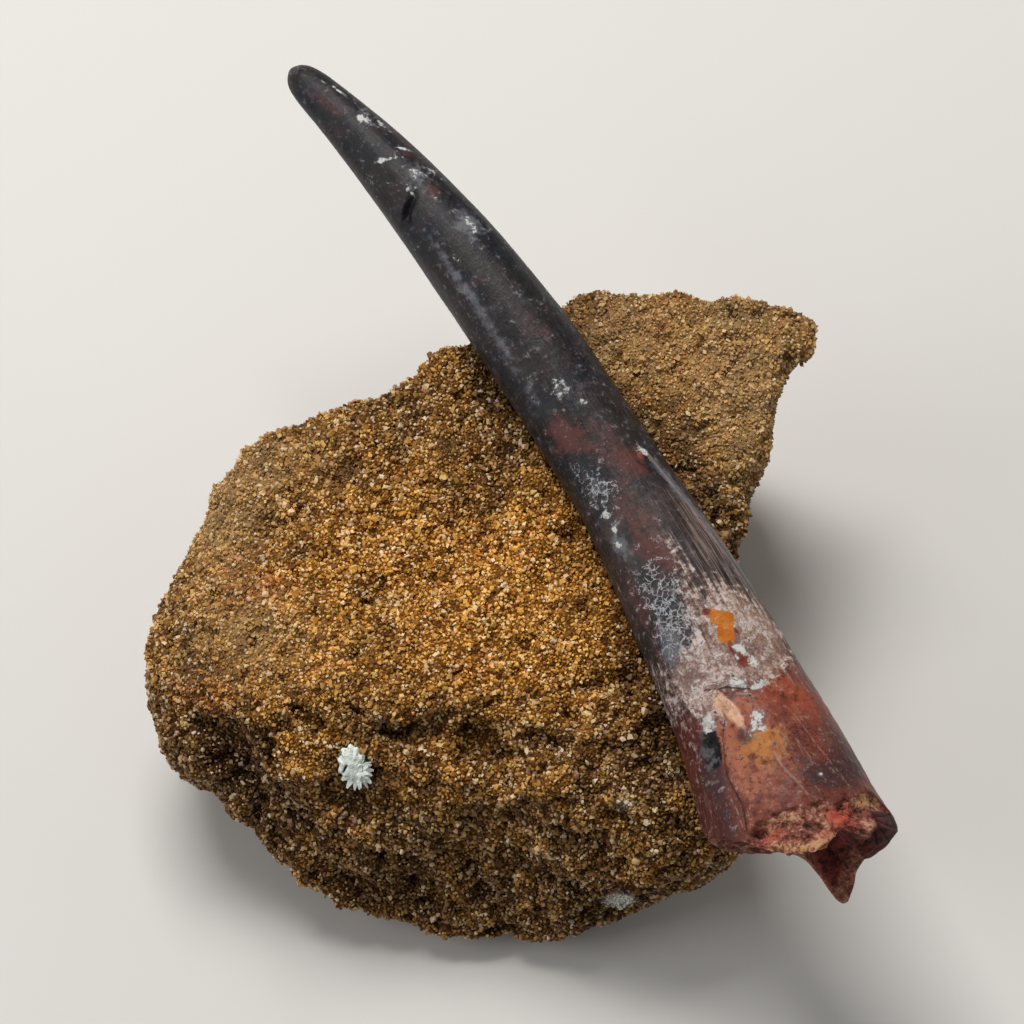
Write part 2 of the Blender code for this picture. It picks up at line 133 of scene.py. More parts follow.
@dataclass(frozen=True)
class Rough:
    """One kind of unevenness of a surface, in millimetres."""

    height: float
    size: float  # how far apart its bumps lie
    seed: float
    octaves: int = 1

    def at(self, points: Array) -> Array:
        """Its height at each point."""
        return self.height * bumps(points, self.size, self.seed, self.octaves)


@dataclass(frozen=True)
class Patch:
    """One soft-edged patch, by its middle, half spans, strength and turn in degrees.

    On the tooth x is the station and y the side, and its half spans are millimetres along
    and round it.  On the stone both are the face frame's millimetres.
    """

    x: float
    y: float
    half_x: float
    half_y: float
    strength: float = 1.0
    turn: float = 0.0
    corners: float = 2.0  # how square its outline is: 2 is round and 6 nearly square

    def lie(self, x: Array, y: Array, fall: float = 0.7) -> Array:
        """Measures how strongly the patch lies at places.

        Args:
            x: Their distances along x from its middle.
            y: Their distances along y.
            fall: How steeply it ends.

        Returns:
            The strength at each place.
        """
        a, b = turned(x, y, self.turn)
        off = np.abs(a / self.half_x) ** self.corners + np.abs(b / self.half_y) ** self.corners
        return self.strength * np.exp(-fall * off)


def patches(*rows: tuple[float, ...]) -> tuple[Patch, ...]:
    """Rows of numbers as patches."""
    return tuple(Patch(*row) for row in rows)


class Paint(Enum):
    """A named colour, whose strength each point of a piece holds under the same name."""

    @property
    def field(self) -> str:
        """The name that its strength is stored under."""
        return self.name.lower()


@dataclass(frozen=True)
class Stance:
    """How the broad face leans back and where the specimen stands."""

    lean: float = 25.0  # degrees back from level
    underside: float = -36.0  # level of the flat underside, from the face's origin
    shift: Pair = (-0.2, -5.35)  # brings the footprint's middle to the origin

    def matrix(self) -> Matrix:
        """The move from the face's millimetres to the resting specimen's metres."""
        shift = Matrix.Translation((*self.shift, -self.underside))
        return Matrix.Scale(MM, 4) @ shift @ Matrix.Rotation(math.radians(self.lean), 4, "X")

    def to_world(self, points: Array) -> Array:
        """Points of the face frame, one a row, as world points in metres."""
        matrix = np.array(self.matrix())
        return points @ matrix[:3, :3].T + matrix[:3, 3]

    def to_face(self, points: Array) -> Array:
        """World points in metres, one a row, as points of the face frame."""
        matrix = np.array(self.matrix().inverted())
        return points @ matrix[:3, :3].T + matrix[:3, 3]


# ---- Working on meshes as at the bench ----


def take_up(*pieces: Piece) -> None:
    """Selects some pieces and nothing else, and makes the first the active one.

    Args:
        pieces: The pieces, or none to clear the selection for a new one.
    """
    if bpy.context.object and bpy.context.object.mode != "OBJECT":
        bpy.ops.object.mode_set(mode="OBJECT")
    bpy.ops.object.select_all(action="DESELECT")
    for piece in reversed(pieces):
        piece.select_set(True)
        bpy.context.view_layer.objects.active = piece


def start_piece(primitive: Callable[..., Any], name: str, **settings: Any) -> Piece:
    """Adds a primitive as the start of a piece.

    Args:
        primitive: The operator that adds it.
        name: The piece's name.
        settings: The operator's own settings.

    Returns:
        The new object, active and alone in the selection.
    """
    take_up()
    primitive(**settings)
    piece = bpy.context.object
    piece.name = piece.data.name = name
    return piece


def link(name: str, data: Any) -> Piece:
    """Puts data into the scene as an object of its own.

    Args:
        name: The object's name.
        data: Its mesh, light or camera.

    Returns:
        The object.
    """
    thing = bpy.data.objects.new(name, data)
    bpy.context.scene.collection.objects.link(thing)
    return thing


def edit_all(piece: Piece, *steps: Callable[[], Any]) -> None:
    """Runs edit-mode steps on the whole of a piece.

    Args:
        piece: The piece to edit.
        steps: Functions that call one operator each, in order.
    """
    take_up(piece)
    bpy.ops.object.mode_set(mode="EDIT")
    bpy.ops.mesh.select_all(action="SELECT")
    for step in steps:
        step()
    bpy.ops.object.mode_set(mode="OBJECT")


def finish_with(piece: Piece, kind: str, **settings: Any) -> None:
    """Adds a modifier to a piece and applies it.

    Args:
        piece: The piece to change.
        kind: The modifier's type.
        settings: The modifier's own settings.
    """
    take_up(piece)
    modifier = piece.modifiers.new(kind.title(), kind)
    for name, value in settings.items():
        setattr(modifier, name, value)
    bpy.ops.object.modifier_apply(modifier=modifier.name)


def copy_solid(source: Piece, name: str) -> Piece:
    """Copies a plain solid as the start of the piece that replaces it.

    Args:
        source: The plain solid, which is left alone.
        name: The piece's name.

    Returns:
        The copy, with its loose triangles merged and no material.
    """
    piece = source.copy()
    piece.parent, piece.data = None, source.data.copy()
    piece.name = piece.data.name = name
    piece.data.materials.clear()
    bpy.context.scene.collection.objects.link(piece)
    edit_all(piece, lambda: bpy.ops.mesh.remove_doubles(threshold=1e-6))
    return piece


def read(items: Any, name: str, width: int = 3, kind: type = float) -> Array:
    """Reads a property of each of a mesh's points, corners or values.

    Args:
        items: The mesh's own list of them.
        name: The property.
        width: How many numbers each has.
        kind: What kind of number it is.

    Returns:
        A row for each item, or a number where the width is 1.
    """
    flat = np.zeros(len(items) * width, kind)
    items.foreach_get(name, flat)
    return flat if width == 1 else flat.reshape(-1, width)


def take_dented(piece: Piece, dents: float, seed: int, *steps: Callable[[], Any]) -> Shape:
    """Dents a start piece, takes its shape and throws it away.

    Args:
        piece: The start piece.
        dents: How far its points move about.
        seed: Seed of their moves.
        steps: Edit-mode steps that go before.

    Returns:
        Its points and triangles.
    """
    edit_all(
        piece, *steps,
        lambda: bpy.ops.transform.vertex_random(offset=dents, seed=seed),
        lambda: bpy.ops.mesh.quads_convert_to_tris(),
    )
    shape = read(piece.data.vertices, "co"), np.array([tuple(face.vertices) for face in piece.data.polygons])
    bpy.data.objects.remove(piece)
    return shape


def repeat(faces: Array, points: int, count: int, first: int = 0) -> Array:
    """A shape's triangles for each of its copies, given its number of points and the first point's number."""
    return (faces[None] + (first + np.arange(count) * points)[:, None, None]).reshape(-1, 3)


def new_piece(name: str, points: Array, faces: Array) -> Piece:
    """Makes a piece from a shape.

    Args:
        name: The piece's name.
        points: Its points, in metres.
        faces: Its triangles.

    Returns:
        The piece.
    """
    mesh = bpy.data.meshes.new(name)
    mesh.from_pydata(points, [], faces)
    return link(name, mesh)


def write_points(piece: Piece, points: Array) -> None:
    """Moves a piece's points to new places, in metres."""
    piece.data.vertices.foreach_set("co", points.astype(np.float32).ravel())
    piece.data.update()


def write_fields(piece: Piece, fields: dict[str, Array]) -> None:
    """Stores numbers for each point of a piece, for its finish to read.

    Args:
        piece: The piece.
        fields: The numbers, by the name that they are stored under.
    """
    for name, values in fields.items():
        attribute = piece.data.attributes.new(name, "FLOAT", "POINT")
        attribute.data.foreach_set("value", values.astype(np.float32).ravel())


def write_map(piece: Piece, places: Array) -> None:
    """Stores a flat map of a piece, one (across, up) place for each face corner."""
    layer = piece.data.uv_layers.new(name=BAKE_MAP)
    layer.data.foreach_set("uv", places.astype(np.float32).ravel())


def mount(piece: Piece, finish: bpy.types.Material, slot: str, *replaced: str) -> None:
    """Gives a piece its finish and fixes it to the specimen.

    Args:
        piece: The finished shape.
        finish: Its material.
        slot: The record's material slot; not used.
        replaced: The plain solids that it stands for.
    """
    piece.data.materials.append(finish)
    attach(piece, BODY)
    if replaced:
        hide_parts(*replaced)
    piece.data.calc_loop_triangles()
    LOG.info("%s: %d triangles", piece.name, len(piece.data.loop_triangles))


# ---- Shader arithmetic ----


class Amount:
    """A number or colour that varies over a surface, used in plain Python arithmetic."""

    def __init__(self, bench: "Bench", socket: bpy.types.NodeSocket) -> None:
        """Keeps the bench and the socket that hands the amount on."""
        self.bench = bench
        self.socket = socket

    def work(self, operation: str, *values: Any, clamp: bool = False) -> "Amount":
        """Adds one Math node with some values, which may be kept between 0 and 1."""
        settings = {"operation": operation, "use_clamp": clamp}
        return self.bench.node("ShaderNodeMath", settings, dict(enumerate(values)))

    def __add__(self, other: Any) -> "Amount":
        """The sum."""
        return self.work("ADD", self, other)

    def __sub__(self, other: Any) -> "Amount":
        """The difference."""
        return self.work("SUBTRACT", self, other)

    def __rsub__(self, other: Any) -> "Amount":
        """The difference from a number."""
        return self.work("SUBTRACT", other, self)

    def __mul__(self, other: Any) -> "Amount":
        """The product."""
        return self.work("MULTIPLY", self, other)

    def __abs__(self) -> "Amount":
        """The size without its sign."""
        return self.work("ABSOLUTE", self)

    def held(self) -> "Amount":
        """The amount, kept between 0 and 1."""
        return self.work("ADD", self, 0.0, clamp=True)

    def over(self, other: Any) -> "Amount":
        """The larger of two amounts."""
        return self.work("MAXIMUM", self, other)

    def swing(self, by: float) -> "Amount":
        """An amount from 0 to 1, turned into a swing round 0."""
        return (self - 0.5) * by

    def rise(self, low: float, high: float) -> "Amount":
        """0 where the amount is below low, 1 above high and smooth between."""
        limits = {0: self, 1: low, 2: high, 3: 0.0, 4: 1.0}
        return self.bench.node("ShaderNodeMapRange", {"interpolation_type": "SMOOTHSTEP"}, limits)

    def fall(self, low: float, high: float) -> "Amount":
        """1 where the amount is below low, 0 above high and smooth between."""
        return 1.0 - self.rise(low, high)


class Bench:
    """Where one material is put together, node by node."""

    def __init__(self, name: str) -> None:
        """Starts a material with a plain surface shader.

        Args:
            name: The material's name.
        """
        self.material = bpy.data.materials.new(name)
        self.material.use_nodes = True
        self.tree = self.material.node_tree

    def node(self, kind: str, settings: dict[str, Any], inputs: dict[Any, Any], output: Any = 0) -> Amount:
        """Adds a node.

        Args:
            kind: The node's type.
            settings: The node's own settings, which are set before its sockets.
            inputs: Values or amounts by socket name or number.
            output: Name or number of the socket that is handed on.

        Returns:
            The output as an amount.
        """
        node = self.tree.nodes.new(kind)
        for name, value in settings.items():
            if name == "stops":
                self.set_stops(node.color_ramp, value)
            else:
                setattr(node, name, value)
        for name, value in inputs.items():
            self.feed(node.inputs[name], value)
        return Amount(self, node.outputs[output])

    def set_stops(self, ramp: bpy.types.ColorRamp, stops: Shades) -> None:
        """Gives a colour ramp its stops.

        Args:
            ramp: The ramp.
            stops: (place, colour) pairs, in order of place.
        """
        while len(ramp.elements) < len(stops):
            ramp.elements.new(0.5)
        for element, (place, colour) in zip(ramp.elements, stops):
            element.position, element.color = place, (*colour, 1.0)

    def feed(self, socket: bpy.types.NodeSocket, value: Any) -> None:
        """Links an amount to a socket, or sets the socket's own value.

        Args:
            socket: The socket.
            value: The amount or the value.
        """
        if isinstance(value, Amount):
            self.tree.links.new(value.socket, socket)
        else:
            socket.default_value = value

    def place(self) -> Amount:
        """Where a point of the piece lies, in metres."""
        return self.node("ShaderNodeTexCoord", {}, {}, "Object")

    def field(self, name: str) -> Amount:
        """A number stored on the piece's points."""
        return self.node("ShaderNodeAttribute", {"attribute_name": name}, {}, "Fac")

    def vector(self, operation: str, *values: Any) -> Amount:
        """Adds one Vector Math node."""
        return self.node("ShaderNodeVectorMath", {"operation": operation}, dict(enumerate(values)))

    def clouds(self, place: Amount, size: float, detail: float = 3.0, roughness: float = 0.6,
               output: str = "Fac") -> Amount:
        """Cloudy noise from 0 to 1.

        Args:
            place: Where to read it.
            size: How large its blotches are, in the place's own unit.
            detail: How many finer layers it has.
            roughness: How strong the finer layers are.
            output: Fac for an amount, or Color.

        Returns:
            The noise.
        """
        inputs = {"Vector": place, "Scale": 1.0 / size, "Detail": detail, "Roughness": roughness}
        return self.node("ShaderNodeTexNoise", {}, inputs, output)

    def cells(self, place: Amount, size: float, feature: str = "F1", output: str = "Distance") -> Amount:
        """Voronoi cells of a size: the distance to their middles, edges or the like."""
        return self.node("ShaderNodeTexVoronoi", {"feature": feature}, {"Vector": place, "Scale": 1.0 / size}, output)

    def blend(self, share: Any, under: Any, over: Any, way: str = "MIX") -> Amount:
        """Lays a colour over another, or multiplies them.

        Args:
            share: How much of it is laid, from 0 to 1.
            under: The colour below.
            over: The colour that is laid over it.
            way: MIX, or MULTIPLY.

        Returns:
            The blended colour.
        """
        colours = (colour.value if isinstance(colour, Paint) else colour for colour in (under, over))
        under, over = (colour if isinstance(colour, Amount) else (*colour, 1.0) for colour in colours)
        return self.node("ShaderNodeMix", {"data_type": "RGBA", "blend_type": way}, {0: share, 6: under, 7: over}, 2)

    def coat(self, colour: Any, *coats: tuple[Any, Any]) -> Amount:
        """Lays coats, one after the other, over a colour.

        Args:
            colour: The colour below.
            coats: (share, colour) pairs, with the share from 0 to 1.

        Returns:
            The coated colour.
        """
        for share, over in coats:
            colour = self.blend(share, colour, over)
        return colour

    def palette(self, share: Amount, stops: Shades) -> Amount:
        """A colour read from (place, colour) stops."""
        return self.node("ShaderNodeValToRGB", {"stops": stops}, {"Fac": share})

    def relief(self, *layers: tuple[Amount, float]) -> Amount:
        """Bumps over bumps, each given as a height and how many millimetres deep it is.

        Args:
            layers: The bumps, from the broadest to the one on top.

        Returns:
            The bumpy surface's normal.
        """
        under = {}
        for height, depth in layers:
            inputs = {"Height": height, "Distance": depth * MM, "Strength": 1.0}
            under = {"Normal": self.node("ShaderNodeBump", {}, inputs | under)}
        return under["Normal"]

    def finish(self, **sockets: Any) -> bpy.types.Material:
        """Feeds the surface shader and hands the material over.

        Args:
            sockets: Values or amounts by the socket's name, with _ for a space.

        Returns:
            The finished material.
        """
        shader = self.tree.nodes["Principled BSDF"]
        for name, value in sockets.items():
            self.feed(shader.inputs[name.replace("_", " ")], value)
        return self.material


# ---- The tooth ----


class Marking(Paint):
    """Kinds of marking on the tooth, among them a painted sheen band and painted shade in the pits."""

    CHALK = (0.60, 0.61, 0.59)
    # A blue-grey haze, and a painted sheen: its band along the crown's left side is a painted highlight.
    HAZE_AND_SHEEN = (0.15, 0.157, 0.183)
    FROST = (0.52, 0.54, 0.57)
    ROSE = (0.47, 0.335, 0.29)
    MAROON = (0.105, 0.032, 0.026)
    PLUM = (0.042, 0.022, 0.027)
    AMBER = (0.46, 0.125, 0.010)
    GARNET = (0.15, 0.030, 0.022)
    OCHRE = (0.42, 0.15, 0.022)
    BLUSH = (0.36, 0.120, 0.068)
    # Painted shade: the near-black that fills the chipped pits.
    PIT_SHADE = (0.005, 0.005, 0.007)
    CREAM = (0.78, 0.50, 0.33)
    STREAK = (0.27, 0.19, 0.165)
    FIRE = (0.50, 0.085, 0.048)
    CRUMB = (0.50, 0.28, 0.125)


@dataclass(frozen=True)
class Crack:
    """One crack line on the tooth, in millimetres; a negative depth stands proud."""

    half_width: float
    depth: float
    path: tuple[Pair, ...]  # the (station, side) points that it runs through


# Each marking's patches: station, side, half spans along and round, strength, turn and corners.
TOOTH_MARKS = {
    Marking.CHALK: patches(
        (6.8, 45, 1.1, 0.26, 1.15, 4), (4.4, 34, 0.5, 0.2, 0.8), (11, 25, 0.45, 0.4, 1.2), (11.5, 38, 1, 0.7, 0.7),
        (13.3, 56, 1.1, 0.4, 0.85), (17.3, 46, 1, 0.2, 1.4, 49), (16.8, -3, 0.35, 0.33, 1.35),
        (17.3, 11, 1.25, 0.13, 1.15, 62), (21, 27, 1.5, 1.1, 0.7), (21.3, 58, 0.8, 0.6, 0.7),
        (19.2, -22, 0.5, 0.14, 1, 30), (21.7, 3, 0.7, 0.5, 0.6), (22.5, -2, 0.3, 0.16, 1.6), (24.6, 20, 0.25, 0.2),
        (28.7, 36, 1, 0.6, 0.75), (30.2, 32, 0.6, 0.5, 0.6), (26.6, -11, 0.8, 0.35, 0.5), (31.8, -13, 0.8, 0.5, 0.55),
        (51.5, -1, 1, 1.1, 0.8, -20), (54.5, 15, 0.6, 0.4, 0.85), (54, -11, 0.25, 0.22, 1.3), (44, -33, 0.4, 0.2, 0.8),
        (62.5, 44, 0.9, 0.28, 1.25, 12), (66.9, -33, 0.5, 0.35, 1.2), (68.9, -33, 0.55, 0.4, 1.2),
        (70.5, -37, 0.7, 0.4, 0.8), (87.8, 19, 0.8, 0.5, 1.45, 30), (88.6, 12, 0.7, 0.3, 1.1),
        (89.7, 24, 0.5, 0.7, 1.15), (88, -27, 1.8, 1.3, 0.5), (87.3, 1, 0.4, 0.35, 0.85), (91.4, 3, 0.6, 0.95, 1.55),
        (92.6, 14, 0.4, 1, 1.15), (92, 20, 0.35, 0.6, 0.8), (95.7, 7, 0.8, 0.7, 1.4, 20),
        (96.8, -1, 0.7, 0.45, 1.35, -30), (94, -32, 1.2, 0.8, 1.45), (95.2, -35, 0.8, 0.25, 1.4, 10),
        (97.3, 4, 0.4, 0.4, 1.1), (98.2, -35, 0.2, 0.15, 1.2), (104.2, 27, 0.25, 0.5, 0.9), (41, 150, 3, 1.4, 0.8),
        (70, -150, 3.5, 1.2, 0.8, 20), (90, 110, 2, 1.5, 0.7), (97, -120, 1.2, 2, 0.9), (22, -150, 1.5, 0.8, 0.8),
        (55, 100, 1.6, 0.5, 0.9, 30),
    ),
    # The long, narrow patches at sides -24 to -31, from station 25 to 52, are a painted sheen band: a highlight laid
    # into the colour.
    Marking.HAZE_AND_SHEEN: patches(
        (11.5, 40, 1.8, 1.2, 0.8), (21, 26, 2, 1.6, 0.9), (29.2, 34, 1.8, 1.5, 1.3), (52, 0, 2.4, 1.8, 0.45),
        (64, -28, 2.6, 1.4, 0.7), (70.8, -35, 2.2, 1.1, 1.1), (80.5, -17, 3.4, 1.7, 0.45), (29.5, -24, 4, 0.6, 0.55),
        (36.5, -27, 4.5, 0.8, 0.7, -1), (45.5, -31, 6, 0.8, 0.65, -3), (84.5, -36, 2.4, 1.6, 1.25), (88.2, -32, 2, 1.6),
        (67, 54, 5, 0.8, 0.9, 10), (76, 70, 7, 1.6, 0.8, 6), (90, -52, 2.5, 1.2, 0.7), (96.8, -42, 1.6, 0.8, 0.8),
        (75, 170, 8, 4, 0.8), (60, -120, 8, 2.5, 0.7), (100, 150, 5, 4, 0.8),
    ),
    Marking.FROST: patches(
        (79.8, -22, 4.6, 2.4), (76.2, -22, 1.3, 1, 0.7), (83.5, -30, 2.4, 1.6, 0.8), (63.6, -29, 2.8, 1.5, 0.85),
        (85, 160, 6, 4, 0.8), (30, 120, 5, 2, 0.7),
    ),
    Marking.ROSE: patches(
        (88, -8, 2.6, 4), (89.2, -28, 2.4, 2, 0.9), (86.5, 21, 3.2, 2.4, 0.9), (84, 34, 4, 2.6, 0.9),
        (90.2, 26, 1.8, 2.6), (87.5, 50, 2.4, 2.4, 0.95), (93.3, -24, 1.6, 1.6, 0.8), (79.8, 3, 3.6, 1, 0.75, -6),
        (75, 14, 3, 0.7, 0.6, 6), (96.5, -52, 2, 0.8, 0.6), (88, -120, 4.5, 9, 0.8), (87, 130, 4.5, 9, 0.8),
    ),
    Marking.MAROON: patches(
        (7.2, -4, 2.4, 1.1, 0.7), (18.5, 44, 1.2, 0.5, 0.8), (23.2, 31, 1.3, 1, 0.9), (25, 8, 1.6, 1, 0.6),
        (36, 4, 3, 1.2, 0.45), (44.7, 11, 3, 1.5, 0.45), (56.3, -31, 2.6, 1.4, 1.3), (57.8, -9, 2.4, 1.6, 0.85),
        (61.5, 16, 2.4, 1.6, 0.8), (63.4, 27, 1.6, 1, 1.6), (66.5, 2, 4, 1.5, 0.6), (72.3, -7, 3.4, 1.6, 1.2),
        (75.8, 5, 2.6, 1.2, 0.9), (80.6, 21, 1.9, 0.55, 1.7), (77.5, -46, 6, 1.4, 0.8), (88, -58, 4, 1.5, 0.9),
        (60, 140, 8, 3, 0.9), (40, -130, 7, 2.5, 0.8), (20, 160, 5, 2, 0.8),
    ),
    Marking.PLUM: patches(
        (99.5, -45, 1.9, 1.5, 1.7), (104.6, 34, 1.9, 3, 1.05), (104.8, -44, 2.6, 1.2, 0.9), (103, 62, 3.2, 3),
        (101.5, 20, 2.6, 0.8, 0.5), (97.1, -9, 1, 0.9, 1.2), (94, 70, 4, 3, 0.7), (101, -120, 4, 6, 0.9),
        (103, 170, 3, 6, 0.8),
    ),
    Marking.AMBER: patches(
        (83.95, 18, 0.75, 1.25, 1.6, -27, 6), (82.75, 11, 0.36, 0.7, 1.3, -27, 4), (85.75, 14, 0.92, 0.9, 1.6, -20, 6),
        (87.2, 12, 0.35, 0.4, 1.1),
    ),
    Marking.GARNET: patches(
        (82.5, 8, 0.45, 0.5, 1.2), (85.9, 23.5, 0.5, 0.25, 1.1), (87.6, 13, 0.9, 0.4, 1.3), (89.2, 17, 0.8, 0.75, 1.5),
        (62.9, 37, 0.6, 0.35, 0.9),
    ),
    Marking.OCHRE: patches(
        (99.8, 1.5, 1.9, 1.8, 1.05), (98, 5, 0.9, 1.8, 0.7), (98.4, -9, 1.2, 1.3, 0.5), (98, 110, 3, 3, 0.8),
    ),
    Marking.BLUSH: patches(
        (93.6, -14, 1.5, 2.2, 1.15), (97.2, -20, 2.4, 1.2), (100.5, -20, 2, 1.8, 0.95), (103.2, -17, 1.3, 1.3, 0.75),
        (94.4, -27, 1.4, 1, 0.8), (97.8, 24, 1, 2.4, 0.55), (93.6, 40, 1.5, 2, 0.5), (94, -150, 3, 5, 0.8),
    ),
    # Painted shade: the chipped pits, which are also sunk, are filled with near-black.
    Marking.PIT_SHADE: patches(
        (23.3, -20, 1.7, 0.42, 1.5, -67), (96.6, -36.5, 1.6, 0.95, 1.35, -16), (98, -41, 0.9, 0.8, 1.05, -30),
        (96.6, -44, 1, 0.6, 0.9), (24.4, -34, 0.6, 0.4, 0.9), (95.4, -39, 0.5, 0.4, 0.8),
    ),
    Marking.CREAM: patches(
        (94, -10, 1.95, 0.55, 1.6, 13), (92.9, -19, 1.1, 0.5, 0.7, -10),
    ),
    Marking.STREAK: patches(
        (80.5, 44, 6.5, 4.6), (72, 50, 5, 3, 0.85), (89, 62, 5, 4, 0.8), (80, 180, 12, 12, 0.8),
        (103, -58, 3.5, 1.2, 0.9),
    ),
    Marking.FIRE: patches(
        (109.1, 31, 1.4, 1.7, 1.3), (109, -16, 0.8, 1.6, 0.9), (111, 14, 0.8, 1.2, 0.6),
    ),
    Marking.CRUMB: patches(
        (107.8, 54, 0.8, 2, 1.2), (107.5, 78, 0.9, 2.4), (107.6, -6, 0.7, 1.8, 0.8), (111.3, 3, 0.45, 2.6, 1.1),
        (110.4, -14, 0.5, 1.8, 0.7),
    ),
}
# The cracks, by the name that the distance from them is stored under.
CRACKS = {
    "crack": (
        Crack(0.1, 0.12, ((90.4, -24), (91.4, -4), (92.6, 10))),
        Crack(0.12, 0.2, ((94.6, -18), (96, -25), (98.2, -29), (100, -32), (104, -28.5), (107.8, -31.5))),
        Crack(0.05, 0.08, ((97.4, 4), (98.6, 30), (99.8, 46))),
        Crack(0.12, 0.15, ((63.3, 30), (64.6, 36), (65.6, 44), (67.4, 50))),
        Crack(0.28, 0.5, ((108.6, -27), (109.6, -11), (110.3, 0), (110.4, 8))),
        Crack(0.15, 0.15, ((36, 120), (52, 128), (70, 122), (88, 131))),
    ),
    "pale_crack": (
        Crack(0.09, 0.05, ((100.2, 5), (102, 6), (104, 10.5), (106.2, 14))),
        Crack(0.07, 0.05, ((97.6, 14), (99.6, 17), (102.4, 16))),
        Crack(0.07, 0.05, ((97, 31), (100.5, 35), (104.5, 41), (106.6, 44))),
        Crack(0.06, 0.04, ((99, 22), (102, 26), (103.5, 25), (105, 29))),
        Crack(0.07, 0.05, ((92.6, -19.5), (94.6, -17.6), (96.2, -24), (98.4, -28))),
        Crack(0.16, -0.14, ((62.6, 47), (65, 50), (69.5, 56), (75, 60), (80, 63), (86, 66))),
        Crack(0.07, 0.05, ((102.5, -36), (104.2, -33.5), (106.6, -33))),
    ),
}


@dataclass(frozen=True)
class ToothRun:
    """The tooth's bowed centre line and girth, in the face frame's millimetres."""

    handles: tuple[Triple, ...] = ((-25.8, 51.6, -15.5), (0.1, 28.5, -8.5), (24.2, -14.8, 4.4), (31.0, -35.2, 10.5))
    girth: Stops = (  # radius by station
        (0.0, 0.35), (0.6, 1.2), (1.6, 1.85), (3.5, 2.3), (8.0, 2.8), (16.0, 3.65), (24.0, 4.35), (33.0, 5.0),
        (46.0, 5.5), (63.0, 5.75), (77.0, 6.8), (91.0, 7.9), (97.0, 8.6), (108.0, 10.1), (116.0, 11.2),
    )
    depth_ratio: float = 0.94  # thickness out of the face as a share of the width across it
    samples: int = 1200

    def measured(self) -> tuple[Array, Array, Array]:
        """Measures the centre line from its handles.

        Returns:
            Distances from the tip, points and directions along the line.
        """
        t = np.linspace(0.0, 1.0, self.samples)[:, None]
        a, b, c, d = np.array(self.handles)
        points = (1 - t) ** 3 * a + 3 * (1 - t) ** 2 * t * b + 3 * (1 - t) * t * t * c + t**3 * d
        slopes = (1 - t) ** 2 * (b - a) + 2 * (1 - t) * t * (c - b) + t * t * (d - c)
        steps = np.linalg.norm(np.diff(points, axis=0), axis=1)
        return np.append(0.0, np.cumsum(steps)), points, slopes / np.linalg.norm(slopes, axis=1)[:, None]

    def place(self, station: Array, side: Array, radius: Array) -> Array:
        """Places points round the centre line.

        Args:
            station: Distances from the tip, in millimetres.
            side: Sides, in degrees.
            radius: Distances from the centre line, in millimetres.

        Returns:
            Points of the face frame, with the coordinates on a last axis.
        """
        reach, *lines = self.measured()
        centre, run = (np.stack([np.interp(station, reach, line[:, k]) for k in range(3)], -1) for line in lines)
        past = np.maximum(station - reach[-1], 0.0) + np.minimum(station, 0.0)
        near = np.array((0.0, 0.0, 1.0)) - run * run[..., 2:]
        near /= np.linalg.norm(near, axis=-1)[..., None]
        angle = np.radians(side)[..., None]
        out = near * (self.depth_ratio * np.cos(angle)) + np.cross(near, run) * np.sin(angle)
        return centre + run * past[..., None] + out * radius[..., None]

    def radius(self, station: Array) -> Array:
        """The tooth's plain radius at each station."""
        return smooth_curve(self.girth, station)

    def clearance(self, points: Array) -> Array:
        """Measures how far points of the face frame stand off the tooth.

        Args:
            points: The points, one a row.

        Returns:
            Their distances from its plain surface.
        """
        best = np.full(len(points), np.inf)
        for reach, place, run in list(zip(*self.measured()))[::8]:
            away = points - place
            along = away @ run
            gap = np.linalg.norm(away - along[:, None] * run, axis=1) - self.radius(reach)
            best = np.where(np.abs(along) < 1.0, np.minimum(best, gap), best)
        return best


